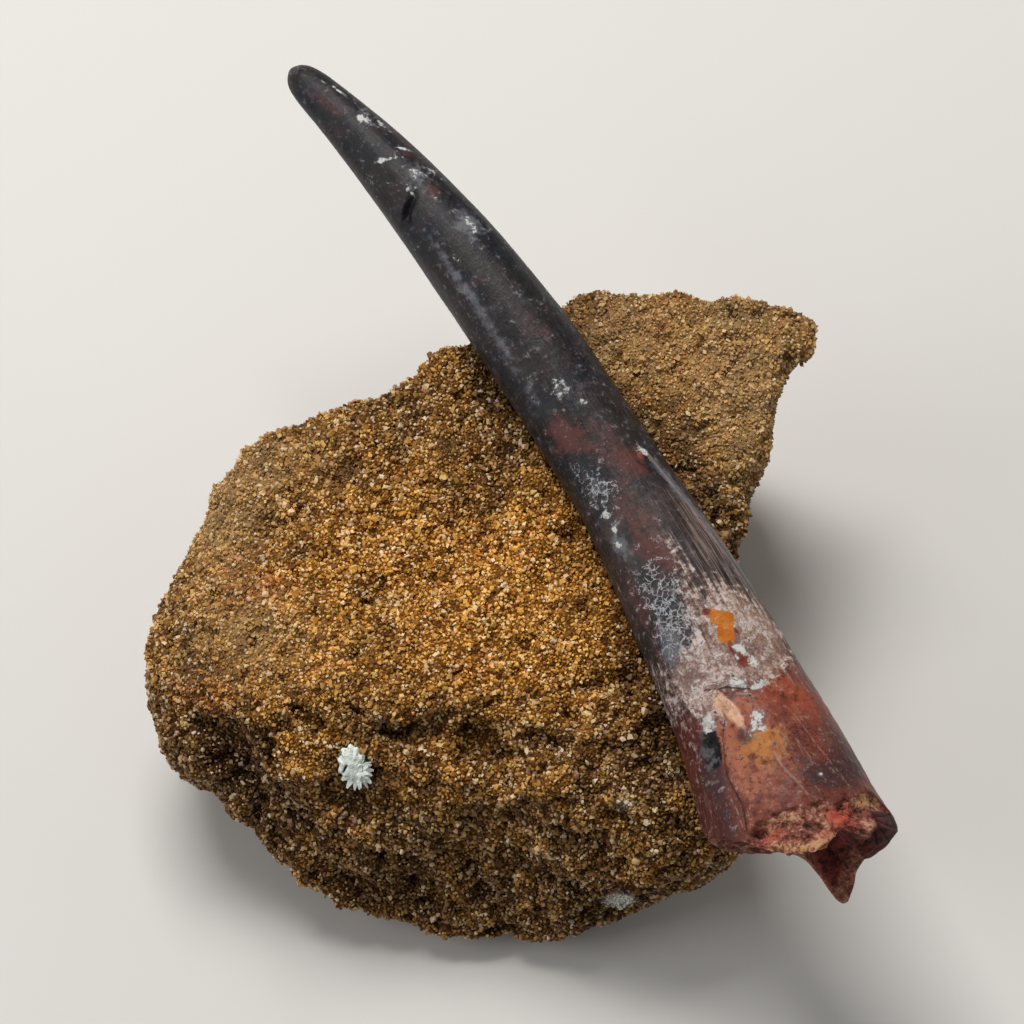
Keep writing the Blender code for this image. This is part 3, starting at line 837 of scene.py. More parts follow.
@dataclass(frozen=True)
class BrokenEnd:
    """How the root end broke off: an uneven wall round a shallow, rough hollow.

    The tables by side run from -90 to 270 degrees.
    """

    station: float = 107.8  # where the break is measured from
    reach: Stops = (  # how far the wall reaches past it, by side
        (-90.0, -5.0), (-58.0, -2.5), (-33.0, 0.1), (-18.0, 2.5), (-5.0, 3.7), (8.0, 3.8), (17.0, 3.0),
        (28.0, 2.4), (37.0, 2.5), (50.0, 3.7), (63.0, 5.0), (80.0, 5.4), (92.0, 4.9), (107.0, 4.0),
        (135.0, 3.4), (149.0, 4.4), (154.0, 5.7), (158.0, 6.7), (162.0, 7.2), (166.0, 6.7), (170.0, 4.5),
        (177.0, 1.2), (190.0, -0.4), (235.0, -2.2), (270.0, -5.0),
    )
    jags: tuple[Rough, ...] = (Rough(0.35, 2.0, 5.1), Rough(0.22, 0.7, 5.1))  # the wall's jagged edge
    calm: float = 0.8  # how much less jagged the thick wall and the tongue are
    wall: Stops = (  # its thickness, by side
        (-90.0, 2.4), (30.0, 2.4), (48.0, 2.9), (64.0, 4.2), (100.0, 4.2), (125.0, 2.6), (163.0, 1.5),
        (200.0, 2.4), (270.0, 2.4),
    )
    drop: Stops = (  # how far its outer edge lies behind its inner one, by side
        (-90.0, -1.0), (-34.0, -0.9), (-14.0, -0.3), (40.0, -0.3), (60.0, 1.3), (80.0, 1.7), (98.0, 1.4),
        (120.0, -0.2), (270.0, -0.3),
    )
    fan: Pair = (38.6, -33.0)  # where the ribs of the thick wall meet, on the face
    ribs: Pair = (24.0, 0.34)  # degrees apart and height
    floor: float = 106.4  # station of the hollow's deepest point
    sinking: Stops = ((0.0, 1.0), (0.3, 0.95), (0.6, 0.7), (0.85, 0.3), (1.0, 0.0))  # depth, by share of the radius
    spall: Stops = (  # station from which the outer skin has gone, by side
        (-90.0, 116.0), (-40.0, 112.0), (-31.0, 108.6), (-19.0, 107.0), (-2.0, 106.7), (13.0, 107.0),
        (26.0, 107.5), (40.0, 107.3), (52.0, 107.1), (66.0, 107.2), (78.0, 108.4), (90.0, 110.0),
        (110.0, 113.0), (270.0, 116.0),
    )
    spall_wander: tuple[Rough, ...] = (Rough(0.45, 1.6, 7.7, 2), Rough(0.25, 0.6, 3.1))  # how that line wanders
    spall_edge: Pair = (0.15, 0.45)  # how far before and after it the skin thins out
    spall_depth: float = 0.6  # how thick the lost skin was
    thick: tuple[Pair, ...] = (  # the drops, the stations and the shares of the wall between which it turns thick
        (0.3, 1.2), (108.6, 109.6), (0.36, 0.5),
    )
    thick_calm: Pair = (0.85, 0.7)  # how much less rough and less deeply spalled it is there
    stir: Pair = (0.6, 1.2)  # how much of the roughness moves the inside outwards and along
    knobs: Pair = (0.8, 0.3)  # size and height of the knobbly growths on broken surfaces
    knob_span: float = 0.75  # a knob's half span, as a share of that size
    knob_bends: tuple[Rough, ...] = (Rough(0.45, 0.9, 1.1), Rough(0.45, 0.9, 5.7), Rough(0.45, 0.9, 9.2))
    clods: Rough = Rough(1.0, 1.7, 3.3, 4)  # the coarser lumps under them
    clod_height: float = 0.42


@dataclass
class SpinosaurusTooth:
    """The fossil tooth, from its blunt tip to the broken, hollow root."""

    stance: Stance
    run: ToothRun = ToothRun()
    end: BrokenEnd = BrokenEnd()
    side_steps: Stops = (  # first side and step of each stretch of points, closer where more is seen
        (-180.0, 1.6), (-160.0, 3.2), (-106.0, 1.45), (106.0, 2.4), (126.0, 1.6), (180.0, 1.0),
    )
    tip_rings: tuple[float, ...] = (0.0, 0.05, 0.15, 0.3, 0.5, 0.75, 1.05, 1.4, 1.8, 2.2, 2.6, 3.0, 3.5)
    stretches: tuple[Triple, ...] = ((4.0, 88.0, 0.34), (88.0, 101.0, 0.22))  # first and last station, and step
    end_start: float = 101.0  # where the rings begin to follow the break
    end_rings: tuple[int, int, int] = (52, 15, 30)  # up to the break, across the wall and into the hollow
    map_length: float = 130.0  # length of surface that the flat map's height stands for
    end_travel: float = 10.0  # height of the broken end on that map
    waves: Rough = Rough(0.10, 4.0, 1.7, 2)  # the surface's long, low waves
    wave_grain: Triple = (1.0, 1.0, 0.35)  # how they are drawn out along the tooth
    tip: Pair = (2.0, 8.0)  # stations between which they begin
    flutes: Rough = Rough(1.0, 0.85, 8.3)
    flute_grain: Triple = (1.0, 1.0, 0.07)
    flute_height: Pair = (0.02, 0.05)  # all along, and how much more where they are deepest
    flute_stations: tuple[float, ...] = (60.0, 72.0, 90.0, 95.0)  # where they begin to deepen, are deep, ease and end
    pocks: Rough = Rough(1.0, 1.1, 4.4, 3)
    pock_height: Pair = (0.015, 0.06)  # all along, and how much more past the crown
    pock_stations: Pair = (80.0, 90.0)  # where they deepen
    plate_start: Stops = (  # where the root's raised plate begins, by side
        (-30.0, 91.4), (0.0, 92.3), (17.0, 92.9), (34.0, 92.3), (52.0, 90.8), (90.0, 89.6), (135.0, 90.4),
    )
    plate_edge: Stops = (  # its left edge's side, by station
        (92.0, -16.0), (94.6, -18.0), (98.2, -29.0), (100.7, -32.0), (104.4, -28.0), (108.4, -32.0),
    )
    plate_end: Pair = (52.0, 80.0)  # sides between which it fades out
    plate_soft: Pair = (1.6, 0.25)  # how soft its left edge is, in degrees, and its start, in millimetres
    plate_rise: float = 0.35
    plate_wander: Rough = Rough(0.3, 2.0, 6.0)  # how its start wanders
    crust: Patch = Patch(88.5, 0.0, 4.0, 8.0)  # where the worn band is lumpy
    crust_lumps: Rough = Rough(0.10, 0.7, 12.0, 2)
    crack_wander: tuple[Rough, ...] = (Rough(0.22, 1.3, 2.2), Rough(0.08, 0.4, 3.9))
    far: float = 9.0  # the largest distance from a crack that is told apart, in its half widths
    rises: tuple[Patch, ...] = patches(  # the proud sliver on the plate's corner, a lump and the pits
        (94.0, -10.0, 1.8, 0.42, 0.3, 13), (109.8, 92, 1.9, 2.4, 0.5), (23.4, -22, 1.4, 0.3, -0.75, -67),
        (97.0, -37, 1.3, 0.8, -0.6), (24.3, -33, 0.5, 0.35, -0.3), (108.4, -22, 0.6, 1.0, -0.7),
        (109.9, 44, 0.9, 1.2, -0.5),
    )

    def around(self, station: Array, side: Array) -> Array:
        """Points on a plain cylinder, on which noise has no seam."""
        angle, radius = np.radians(side), self.run.radius(station)
        return np.stack([radius * np.cos(angle), radius * np.sin(angle), station], -1)

    def facing(self, side: Array) -> Array:
        """Sides as degrees from -90 to 270, as the broken end's tables give them."""
        return (side + 90.0) % 360.0 - 90.0

    def measure(self, patch: Patch, station: Array, side: Array) -> Array:
        """How strongly a patch lies on each point of the surface."""
        across = np.radians((side - patch.y + 180.0) % 360.0 - 180.0)
        return patch.lie(station - patch.x, across * self.run.radius(station))

    def crack_gaps(self, cracks: tuple[Crack, ...], station: Array, side: Array) -> Array:
        """Measures how far points of the surface lie from some cracks.

        Args:
            cracks: The cracks.
            station: The points' stations.
            side: Their sides.

        Returns:
            Distances as shares of a crack's half width, with the cracks on a first axis.
        """
        station = station + sum(wander.at(self.around(station, side)) for wander in self.crack_wander)
        gaps = np.full((len(cracks), *station.shape), np.inf)
        for gap, crack in zip(gaps, cracks):
            for (s0, a0), (s1, a1) in zip(crack.path, crack.path[1:]):
                scale = math.radians(1.0) * float(self.run.radius(np.array((s0 + s1) / 2.0)))
                x, y = station - s0, ((side - a0 + 180.0) % 360.0 - 180.0) * scale
                dx, dy = s1 - s0, (a1 - a0) * scale
                t = np.clip((x * dx + y * dy) / (dx * dx + dy * dy), 0.0, 1.0)
                np.minimum(gap, np.hypot(x - t * dx, y - t * dy) / crack.half_width, out=gap)
        return gaps

    def break_line(self, side: Array) -> Array:
        """Finds where the wall's inner edge ends.

        Args:
            side: The sides to look at.

        Returns:
            Its station on each side.
        """
        facing, end = self.facing(side), self.end
        ring = self.around(np.full_like(side, end.station), side)
        calm = ease(54.0, 66.0, facing) * (1.0 - ease(176.0, 186.0, facing))
        jags = sum(jag.at(ring) for jag in end.jags) * (1.0 - end.calm * calm)
        return end.station + smooth_curve(end.reach, facing) + jags

    def rings(self) -> tuple[Array, Array, Array, Array]:
        """Lays out the rings of the tooth's surface.

        Returns:
            Station, side, share of the radius and distance along the surface of each
            point, ring by ring from the tip over the break to the hollow's middle.
        """
        steps = [np.arange(low, high, step) for (low, step), (high, _) in zip(self.side_steps, self.side_steps[1:])]
        side = np.concatenate((*steps, [180.0]))
        crown = np.concatenate((self.tip_rings, *(np.arange(*stretch) for stretch in self.stretches)))
        rim, drop = self.break_line(side), smooth_curve(self.end.drop, self.facing(side))
        along, across, inward = (np.linspace(0.0, 1.0, count)[:, None] for count in np.add(self.end_rings, (0, 1, 1)))
        outer = np.vstack((
            np.repeat(crown[:, None], side.size, axis=1),
            self.end_start + along * (rim - drop - self.end_start),
        ))
        across, inward = across[1:], 1.0 - inward[1:]
        wall = smooth_curve(self.end.wall, self.facing(side)) / self.run.radius(rim)
        over = rim - drop * (1.0 - across) ** 2
        inner = over[-1] + (self.end.floor - over[-1]) * smooth_curve(self.end.sinking, inward)
        share = np.vstack((np.ones_like(outer), 1.0 - across * wall, inward * (1.0 - wall)))
        share[0] = 0.0
        rest = np.linspace(0.0, self.end_travel, len(over) + len(inner) + 1)[1:, None]
        station = np.vstack((outer, over, inner))
        return station, np.broadcast_to(side, station.shape), share, np.vstack((outer, outer[-1] + rest))

    def relief(self, station: Array, side: Array, skin: Array, gaps: dict[str, Array]) -> Array:
        """Measures how far the skin stands proud of the plain girth, in millimetres.

        Args:
            station: The points' stations.
            side: Their sides.
            skin: How far each point is whole skin, from 0 to 1.
            gaps: Their distances from the cracks, by the cracks' kind.

        Returns:
            The height of each point.
        """
        ring = self.around(station, side)
        height = sum(self.measure(rise, station, side) for rise in self.rises)
        height += self.waves.at(ring * self.wave_grain) * ease(*self.tip, station)
        begin, deep, calmer, end = self.flute_stations
        fluted = ease(begin, deep, station) * (1.0 - ease(calmer, end, station))
        least, more = self.flute_height
        height += (least + more * fluted) * self.flutes.at(ring * self.flute_grain) * skin
        least, more = self.pock_height
        height += (least + more * ease(*self.pock_stations, station)) * self.pocks.at(ring) * skin
        edge = smooth_curve(self.plate_edge, station)
        start = smooth_curve(self.plate_start, side) + self.plate_wander.at(ring)
        soft, blunt = self.plate_soft
        plate = ease(edge - soft, edge + soft, side) * ease(start - blunt, start + blunt, station)
        height += self.plate_rise * plate * (1.0 - ease(*self.plate_end, side))
        for kind, cracks in CRACKS.items():
            for crack, gap in zip(cracks, gaps[kind]):
                height -= crack.depth * np.exp(-gap * gap / 2.0)
        return height + self.measure(self.crust, station, side) * self.crust_lumps.at(ring)

    def knobs(self, points: Array, size: float) -> Array:
        """Measures how high uneven knobs stand at some points.

        Args:
            points: The points, one a row.
            size: How far apart the knobs are, in millimetres.

        Returns:
            1 on their tops, 0 in the gaps between them.
        """
        bent = points + np.stack([bend.at(points) for bend in self.end.knob_bends], -1)
        near = np.array([noise.voronoi(place)[0][0] for place in (bent / size).tolist()])
        return 1.0 - np.clip(near / self.end.knob_span, 0.0, 1.0) ** 2

    def shape(self, piece: Piece) -> None:
        """Sweeps the flat sheet round the centre line and roughens what is broken.

        Args:
            piece: The sheet, with a point for each of the rings' points.
        """
        station, side, share, travel = self.rings()
        end, ring, inward = self.end, self.around(station, side), 1.0 - share
        inside = ease(0.0, 0.02, inward) * (station > self.end_start)
        start = smooth_curve(end.spall, self.facing(side)) + sum(wander.at(ring) for wander in end.spall_wander)
        before, after = end.spall_edge
        spall = ease(start - before, start + after, station) * (1.0 - inside)
        broken = np.maximum(spall, inside)
        knobs, clods, chosen = np.zeros(station.shape), np.zeros(station.shape), broken > 0.0
        local = (ring * np.stack([share, share, np.ones_like(share)], -1))[chosen]
        knobs[chosen], clods[chosen] = self.knobs(local, end.knobs[0]), end.clods.at(local)
        drops, stations, shares = end.thick
        thick = ease(*drops, smooth_curve(end.drop, self.facing(side))) * ease(*stations, station)
        thick = thick * (1.0 - ease(*shares, inward))
        calm, shallow = (1.0 - less * thick for less in end.thick_calm)
        rough = (end.knobs[1] * (knobs - 0.5) + end.clod_height * clods) * calm
        gaps = {kind: self.crack_gaps(cracks, station, side) for kind, cracks in CRACKS.items()}
        radius = self.run.radius(station) + self.relief(station, side, 1.0 - broken, gaps) * (1.0 - inside)
        radius -= spall * (end.spall_depth * shallow - rough)
        radius = radius * share + inside * ease(0.0, 0.35, share) * rough * end.stir[0]
        points = self.run.place(station + inside * ease(0.0, 0.06, inward) * rough * end.stir[1], side, radius)
        bearing = np.arctan2(points[..., 1] - end.fan[1], points[..., 0] - end.fan[0])
        ribs = np.abs(np.sin(bearing * 180.0 / end.ribs[0] + 0.5 * clods))
        points[..., 2] += thick * end.ribs[1] * (ribs - 0.5)
        write_points(piece, self.stance.to_world(points.reshape(-1, 3)))
        flat = np.stack([(side + 180.0) / 360.0, travel / self.map_length], -1).reshape(-1, 2)
        write_map(piece, flat[read(piece.data.loops, "vertex_index", 1, int)])
        write_fields(piece, {
            kind.field: sum(self.measure(mark, station, side) for mark in marks) for kind, marks in TOOTH_MARKS.items()
        } | {kind: np.minimum(gap.min(0), self.far) for kind, gap in gaps.items()} | {
            "station": station, "side": side, "broken": broken, "inside": inside, "shell": thick,
            "knobs": knobs, "clods": clods * 0.5 + 0.5, "depth": inward, "ribs": ribs,
        })

    def build(self) -> None:
        """Models the tooth and dresses it, in place of its plain solid."""
        rows, columns = self.rings()[0].shape
        piece = start_piece(
            bpy.ops.mesh.primitive_grid_add, "fossil_tooth",
            x_subdivisions=columns - 1, y_subdivisions=rows - 1, size=1.0, calc_uvs=False,
        )
        self.shape(piece)
        edit_all(
            piece,
            lambda: bpy.ops.mesh.remove_doubles(threshold=1e-7),
            lambda: bpy.ops.mesh.normals_make_consistent(inside=False),
        )
        bpy.ops.object.shade_smooth()
        mount(piece, ToothFinish().material(), "tooth_enamel", "spinosaurus_tooth")


class EnamelBench(Bench):
    """The bench for the tooth's finish, with the patterns that its layers share."""

    def __init__(self, name: str) -> None:
        """Lays out the patterns, from the finest to the broadest, and those that run along the tooth.

        Args:
            name: The material's name.
        """
        super().__init__(name)
        self.spot, sheet = self.place(), self.node("ShaderNodeUVMap", {"uv_map": BAKE_MAP}, {})
        self.fine = self.clouds(self.spot, 0.3 * MM, 3.0, 0.65)
        self.crumbs = self.clouds(self.vector("ADD", self.spot, (0.02, 0.05, 0.01)), 0.7 * MM)
        self.ragged = self.clouds(self.spot, 1.3 * MM, 6.0, 0.68)
        self.patchy = self.clouds(self.vector("ADD", self.spot, (0.3, 0.1, 0.2)), 2.6 * MM, 5.0, 0.65)
        self.cloudy = self.clouds(self.spot, 5.0 * MM, 4.0)
        self.threads = self.clouds(self.vector("MULTIPLY", sheet, (105.0, 15.0, 1.0)), 1.0, 5.0, 0.65)
        fibres = self.vector("MULTIPLY_ADD", sheet, (230.0, 30.0, 1.0), (4.0, 2.0, 0.0))
        self.hairs = self.clouds(fibres, 1.0, 4.0)
        self.edge = self.ragged.swing(1.6) + self.crumbs.swing(0.9)

    def mark(self, kind: Marking, ragged: float) -> Amount:
        """How strongly a marking lies, with its edge made ragged."""
        return self.field(kind.field) + self.edge * ragged


@dataclass(frozen=True)
class ToothFinish:
    """The tooth's fossil enamel, root and broken end."""

    slate: Colour = (0.0095, 0.0115, 0.0175)  # the crown's dark blue-grey
    umber: Colour = (0.024, 0.0175, 0.016)
    plum: Colour = (0.038, 0.021, 0.027)
    moss: Colour = (0.026, 0.027, 0.024)
    pewter: Colour = (0.060, 0.057, 0.066)  # the grey bloom on the crown
    ink: Colour = (0.005, 0.005, 0.006)
    root: Colour = (0.31, 0.064, 0.030)
    # The root's left flank, turning down towards the stone, is darkened with this colour as painted shade.
    root_in_shade: Colour = (0.056, 0.009, 0.009)
    # The broken surfaces' colours by tone; the tone is raised on the knobs' and lumps' tops and lowered in the gaps, as
    # painted light and shade.
    fracture: Shades = (  # from the gaps to the tops of the knobs
        (0.20, (0.020, 0.007, 0.006)), (0.34, (0.080, 0.023, 0.017)), (0.52, (0.17, 0.052, 0.037)),
        (0.68, (0.28, 0.105, 0.068)), (0.9, (0.50, 0.29, 0.20)),
    )
    sheen: float = 0.2  # the enamel's specular level
    roughness: float = 0.42

    def material(self) -> bpy.types.Material:
        """Lays the finish, layer by layer from the enamel outwards.

        Returns:
            The finished material.
        """
        b = EnamelBench("fossil_enamel")
        stain = b.mark(Marking.MAROON, 1.6) + b.patchy.swing(1.6) + b.hairs.swing(1.2)
        rooted = b.field("station") + b.edge * 3.0 + b.threads.swing(14.0)
        streak = b.field(Marking.STREAK.field)
        streaks = streak * 0.55 + b.threads.swing(2.6) + b.hairs.swing(2.2)
        grooves = streak * 0.6 - b.threads.swing(2.6) - b.hairs.swing(2.4)
        crust = (b.mark(Marking.ROSE, 1.3) + b.threads.swing(1.2)).rise(0.30, 0.90)
        colour = b.coat(
            self.enamel(b),
            (stain.rise(0.25, 1.45) * (b.fine * 0.5 + 0.55), Marking.MAROON),
            # Painted sheen: the haze marks' band along the crown's left side is a painted highlight.
            (b.mark(Marking.HAZE_AND_SHEEN, 1.3).rise(0.30, 1.25) * 0.8, Marking.HAZE_AND_SHEEN),
            (rooted.rise(87.0, 93.5), self.root_skin(b)),
            (streaks.rise(0.40, 1.25) * 0.75, Marking.STREAK),
            (grooves.rise(0.62, 1.0) * 0.5, (0.030, 0.018, 0.017)),
            (crust * 0.9, self.worn_band(b)),
        )
        for kind, ragged, low, high, glow in (
            (Marking.AMBER, 0.55, 0.52, 0.64, (0.62, 0.25, 0.05)),
            (Marking.GARNET, 1.2, 0.45, 0.75, (0.30, 0.10, 0.07)),
            (Marking.CREAM, 0.75, 0.25, 0.95, (0.50, 0.22, 0.14)),
        ):
            inlay = b.coat(kind, (b.ragged.rise(0.40, 0.64) * 0.6, glow))
            colour = b.coat(colour, (b.mark(kind, ragged).rise(low, high), inlay))
        line = b.field("crack") + b.fine.swing(2.2)
        healed = b.field("pale_crack") + b.crumbs.swing(5.0) + b.ragged.swing(7.0)
        # Painted shade in the pits: near-black, with grey blocks towards the left side of the root's pit.
        blocks = (b.ragged + b.crumbs.swing(0.8) - b.field("side") * 0.02).rise(1.24, 1.42) * 0.7
        pit_shade_colour = b.coat(Marking.PIT_SHADE, (blocks * b.field("station").rise(60.0, 70.0), (0.115, 0.105, 0.112)))
        colour = b.coat(
            self.white_mineral(b, colour),
            (line.fall(0.5, 1.5) * 0.85, (0.030, 0.010, 0.009)),
            (healed.fall(0.3, 1.8) * 0.36, (0.46, 0.33, 0.28)),
            (b.mark(Marking.PIT_SHADE, 1.7).rise(0.36, 0.72), pit_shade_colour),
            ((b.field("broken") + b.ragged.swing(0.5)).rise(0.3, 0.6), self.broken(b)),
        )
        matt = b.field("broken").over(crust).held()
        bump = b.relief((b.ragged, 0.07), (b.hairs, 0.035), (b.crumbs * (matt * 0.85 + 0.15), 0.22))
        rough = (matt * 0.35 + self.roughness + b.ragged.swing(0.35)).held()
        return b.finish(Base_Color=colour, Roughness=rough, Normal=bump, Specular_IOR_Level=self.sheen)

    def enamel(self, b: EnamelBench) -> Amount:
        """Mixes the crown's dark, mottled enamel.

        Args:
            b: The bench that the finish is put together on.

        Returns:
            Its colour.
        """
        flecks = (b.crumbs + b.fine.swing(0.9) + b.patchy.swing(0.5)).rise(0.60, 0.76)
        colour = b.coat(
            self.slate,
            (b.cloudy.rise(0.42, 0.58), self.umber),
            (b.patchy.rise(0.50, 0.64) * 0.75, self.plum),
            (b.patchy.fall(0.36, 0.48) * 0.6, self.moss),
            (b.ragged.rise(0.50, 0.68) * 0.7, self.pewter),
            (b.ragged.fall(0.32, 0.46) * 0.75, self.ink),
            (b.hairs.rise(0.56, 0.70) * 0.4, (0.062, 0.060, 0.068)),
            (b.hairs.fall(0.32, 0.44) * 0.4, self.ink),
            (flecks * 0.4, (0.13, 0.125, 0.138)),
        )
        colour = b.blend(b.field("station").fall(34.0, 56.0), colour, (0.74, 0.76, 0.80), "MULTIPLY")
        worn = b.field("station").rise(56.0, 72.0) * b.patchy.rise(0.36, 0.60)
        return b.coat(colour, (worn * 0.25, (0.115, 0.082, 0.070)))

    def root_skin(self, b: EnamelBench) -> Amount:
        """Mixes the root's red-brown skin with its stains.

        Args:
            b: The bench that the finish is put together on.

        Returns:
            Its colour.
        """
        # Painted shade: past side -26 the root's left flank is darkened, with a few paler streaks in it.
        shade = (b.edge * 22.0 - b.field("side")).rise(26.0, 46.0)
        stains = [
            ((b.mark(kind, 1.7) + b.patchy.swing(1.2)).rise(low, high) * share, kind)
            for kind, low, high, share in (
                (Marking.BLUSH, 0.10, 1.35, 0.9), (Marking.OCHRE, 0.10, 1.35, 1.0), (Marking.PLUM, 0.30, 1.05, 0.85),
            )
        ]
        return b.coat(
            self.root,
            (b.cloudy.rise(0.38, 0.62), (0.165, 0.040, 0.027)),
            ((b.field("station") + b.edge * 5.0).rise(96.5, 100.5) * 0.6, (0.105, 0.029, 0.023)),
            (b.patchy.rise(0.5, 0.68) * 0.6, (0.29, 0.105, 0.07)),
            (b.ragged.fall(0.34, 0.48) * 0.55, (0.085, 0.026, 0.022)),
            (b.hairs.rise(0.54, 0.72) * 0.4, (0.33, 0.15, 0.12)),
            (shade * 0.85, self.root_in_shade),
            (shade * b.hairs.rise(0.52, 0.68) * 0.5, (0.20, 0.075, 0.065)),
            *stains,
            (b.ragged.rise(0.54, 0.70) * 0.35, (0.42, 0.20, 0.15)),
            ((b.fine + b.crumbs.swing(0.8)).rise(0.60, 0.78) * 0.4, (0.52, 0.30, 0.20)),
            ((b.crumbs + b.fine.swing(0.7)).fall(0.32, 0.42) * 0.7, (0.045, 0.014, 0.010)),
        )

    def worn_band(self, b: EnamelBench) -> Amount:
        """Mixes the worn, wrinkled pink-grey band between the crown and the root.

        Args:
            b: The bench that the finish is put together on.

        Returns:
            Its colour.
        """
        streaky = b.field("station").rise(84.0, 88.5) * -0.75 + 1.0
        worn = b.patchy + b.fine.swing(0.5) + b.threads.swing(1.0) * streaky + b.ragged.swing(0.5)
        tan = (b.field("side") + b.edge * 16.0).rise(20.0, 36.0) * b.patchy.rise(0.38, 0.52)
        chalky = b.crumbs + b.threads.swing(0.8) * streaky + b.ragged.swing(0.6) + b.patchy.swing(0.6)
        wrinkles = abs(b.ragged - 0.5) + b.fine.swing(0.03)
        return b.coat(
            (0.22, 0.13, 0.108),
            (worn.rise(0.32, 0.62), Marking.ROSE),
            (tan * 0.55, (0.34, 0.19, 0.11)),
            (chalky.rise(0.44, 0.68) * 0.85, (0.68, 0.60, 0.56)),
            (wrinkles.fall(0.004, 0.030) * 0.65, (0.095, 0.045, 0.040)),
            (b.hairs.fall(0.34, 0.44) * streaky * 0.5, (0.055, 0.028, 0.024)),
        )

    def white_mineral(self, b: EnamelBench, colour: Amount) -> Amount:
        """Lays the white mineral's threads, specks and patches over a colour.

        Args:
            b: The bench that the finish is put together on.
            colour: The colour below.

        Returns:
            The colour with the mineral over it.
        """
        bent = b.vector("MULTIPLY_ADD", b.clouds(b.spot, MM / 0.9, 3.0, 0.5, "Color"), (0.0016,) * 3, b.spot)
        veins = b.cells(bent, 1.3 * MM, "DISTANCE_TO_EDGE").fall(0.01, 0.07)
        curls = b.clouds(b.vector("ADD", b.spot, (0.5, 0.2, 0.7)), 1.1 * MM, 2.0, 0.5)
        net = (veins * 0.75).over(abs(curls - 0.5).fall(0.004, 0.018)) * b.mark(Marking.FROST, 1.9).rise(0.30, 0.75)
        near = (b.cells(b.spot, 0.55 * MM) + b.fine.swing(0.7)).fall(0.05, 0.28)
        some = (b.cells(b.spot, 0.55 * MM, output="Color") + b.edge * 0.35).rise(0.60, 0.72)
        chalk = b.field(Marking.CHALK.field)
        return b.coat(
            colour,
            (net * (b.crumbs.rise(0.35, 0.6) * 0.5 + 0.45), Marking.FROST),
            (near * some * 0.28, (0.22, 0.215, 0.225)),
            ((chalk * 0.9 + b.edge * 1.3).rise(0.3, 0.95) * 0.45, (0.27, 0.275, 0.275)),
            ((chalk * 0.85 + b.edge * 1.9 + b.fine.swing(1.4)).rise(0.62, 0.95) * 0.9, Marking.CHALK),
        )

    def broken(self, b: EnamelBench) -> Amount:
        """Mixes the spalled band, the broken wall and the hollow.

        Args:
            b: The bench that the finish is put together on.

        Returns:
            Their colour.
        """
        # Painted light and shade: the knobs' and lumps' tops are lighter and the gaps between them darker; the noise
        # adds its own mottling.
        tone = b.field("knobs") * 0.26 + b.ragged * 0.3 + b.crumbs.swing(1.2) + b.fine.swing(0.9)
        tone = (tone + b.field("clods") * 0.25 + 0.2).held()
        colour = b.palette(tone, self.fracture)
        for kind in (Marking.FIRE, Marking.CRUMB, Marking.OCHRE):
            share = (b.field(kind.field) + b.ragged.swing(1.8) + b.fine.swing(2.0)).rise(0.35, 1.1)
            colour = b.coat(colour, (share * tone.rise(0.34, 0.62) * 0.85, kind))
        shell = b.coat((0.040, 0.012, 0.011), (b.ragged.rise(0.4, 0.62), (0.115, 0.033, 0.028)))
        ribs = (b.field("ribs") + b.ragged.swing(0.9)).fall(0.15, 0.6)
        # Painted shade: past the first fifth of the way into the hollow, its colour turns near-black to dark red.
        hollow = b.coat((0.018, 0.005, 0.004), (tone.rise(0.35, 0.85), (0.18, 0.027, 0.019)))
        return b.coat(
            colour,
            (b.field("shell").rise(0.3, 0.8), b.coat(shell, (ribs, (0.016, 0.005, 0.005)))),
            (b.field("depth").rise(0.14, 0.26) * b.field("inside"), hollow),
        )


# ---- The sandstone ----


class Stain(Paint):
    """Kinds of staining of the sandstone: four tints, and the colours of dust and of white mineral; the gold and umber
    tints also carry painted light and shade.
    """

    # Painted light as well as a gold stain: it brightens the broad upper facet and the skin's ridges.
    GOLD_AND_LIGHT = (2.2, 2.06, 1.34)
    # Painted shade as well as an umber stain: it darkens the skin's hollows, the band below the facet edge and the
    # lower left hollow.
    UMBER_AND_SHADE = (0.36, 0.30, 0.26)
    RUST = (0.90, 0.72, 0.70)
    ASH = (0.84, 0.90, 0.98)
    DUST = (0.56, 0.365, 0.165)
    LIME = (0.72, 0.74, 0.68)


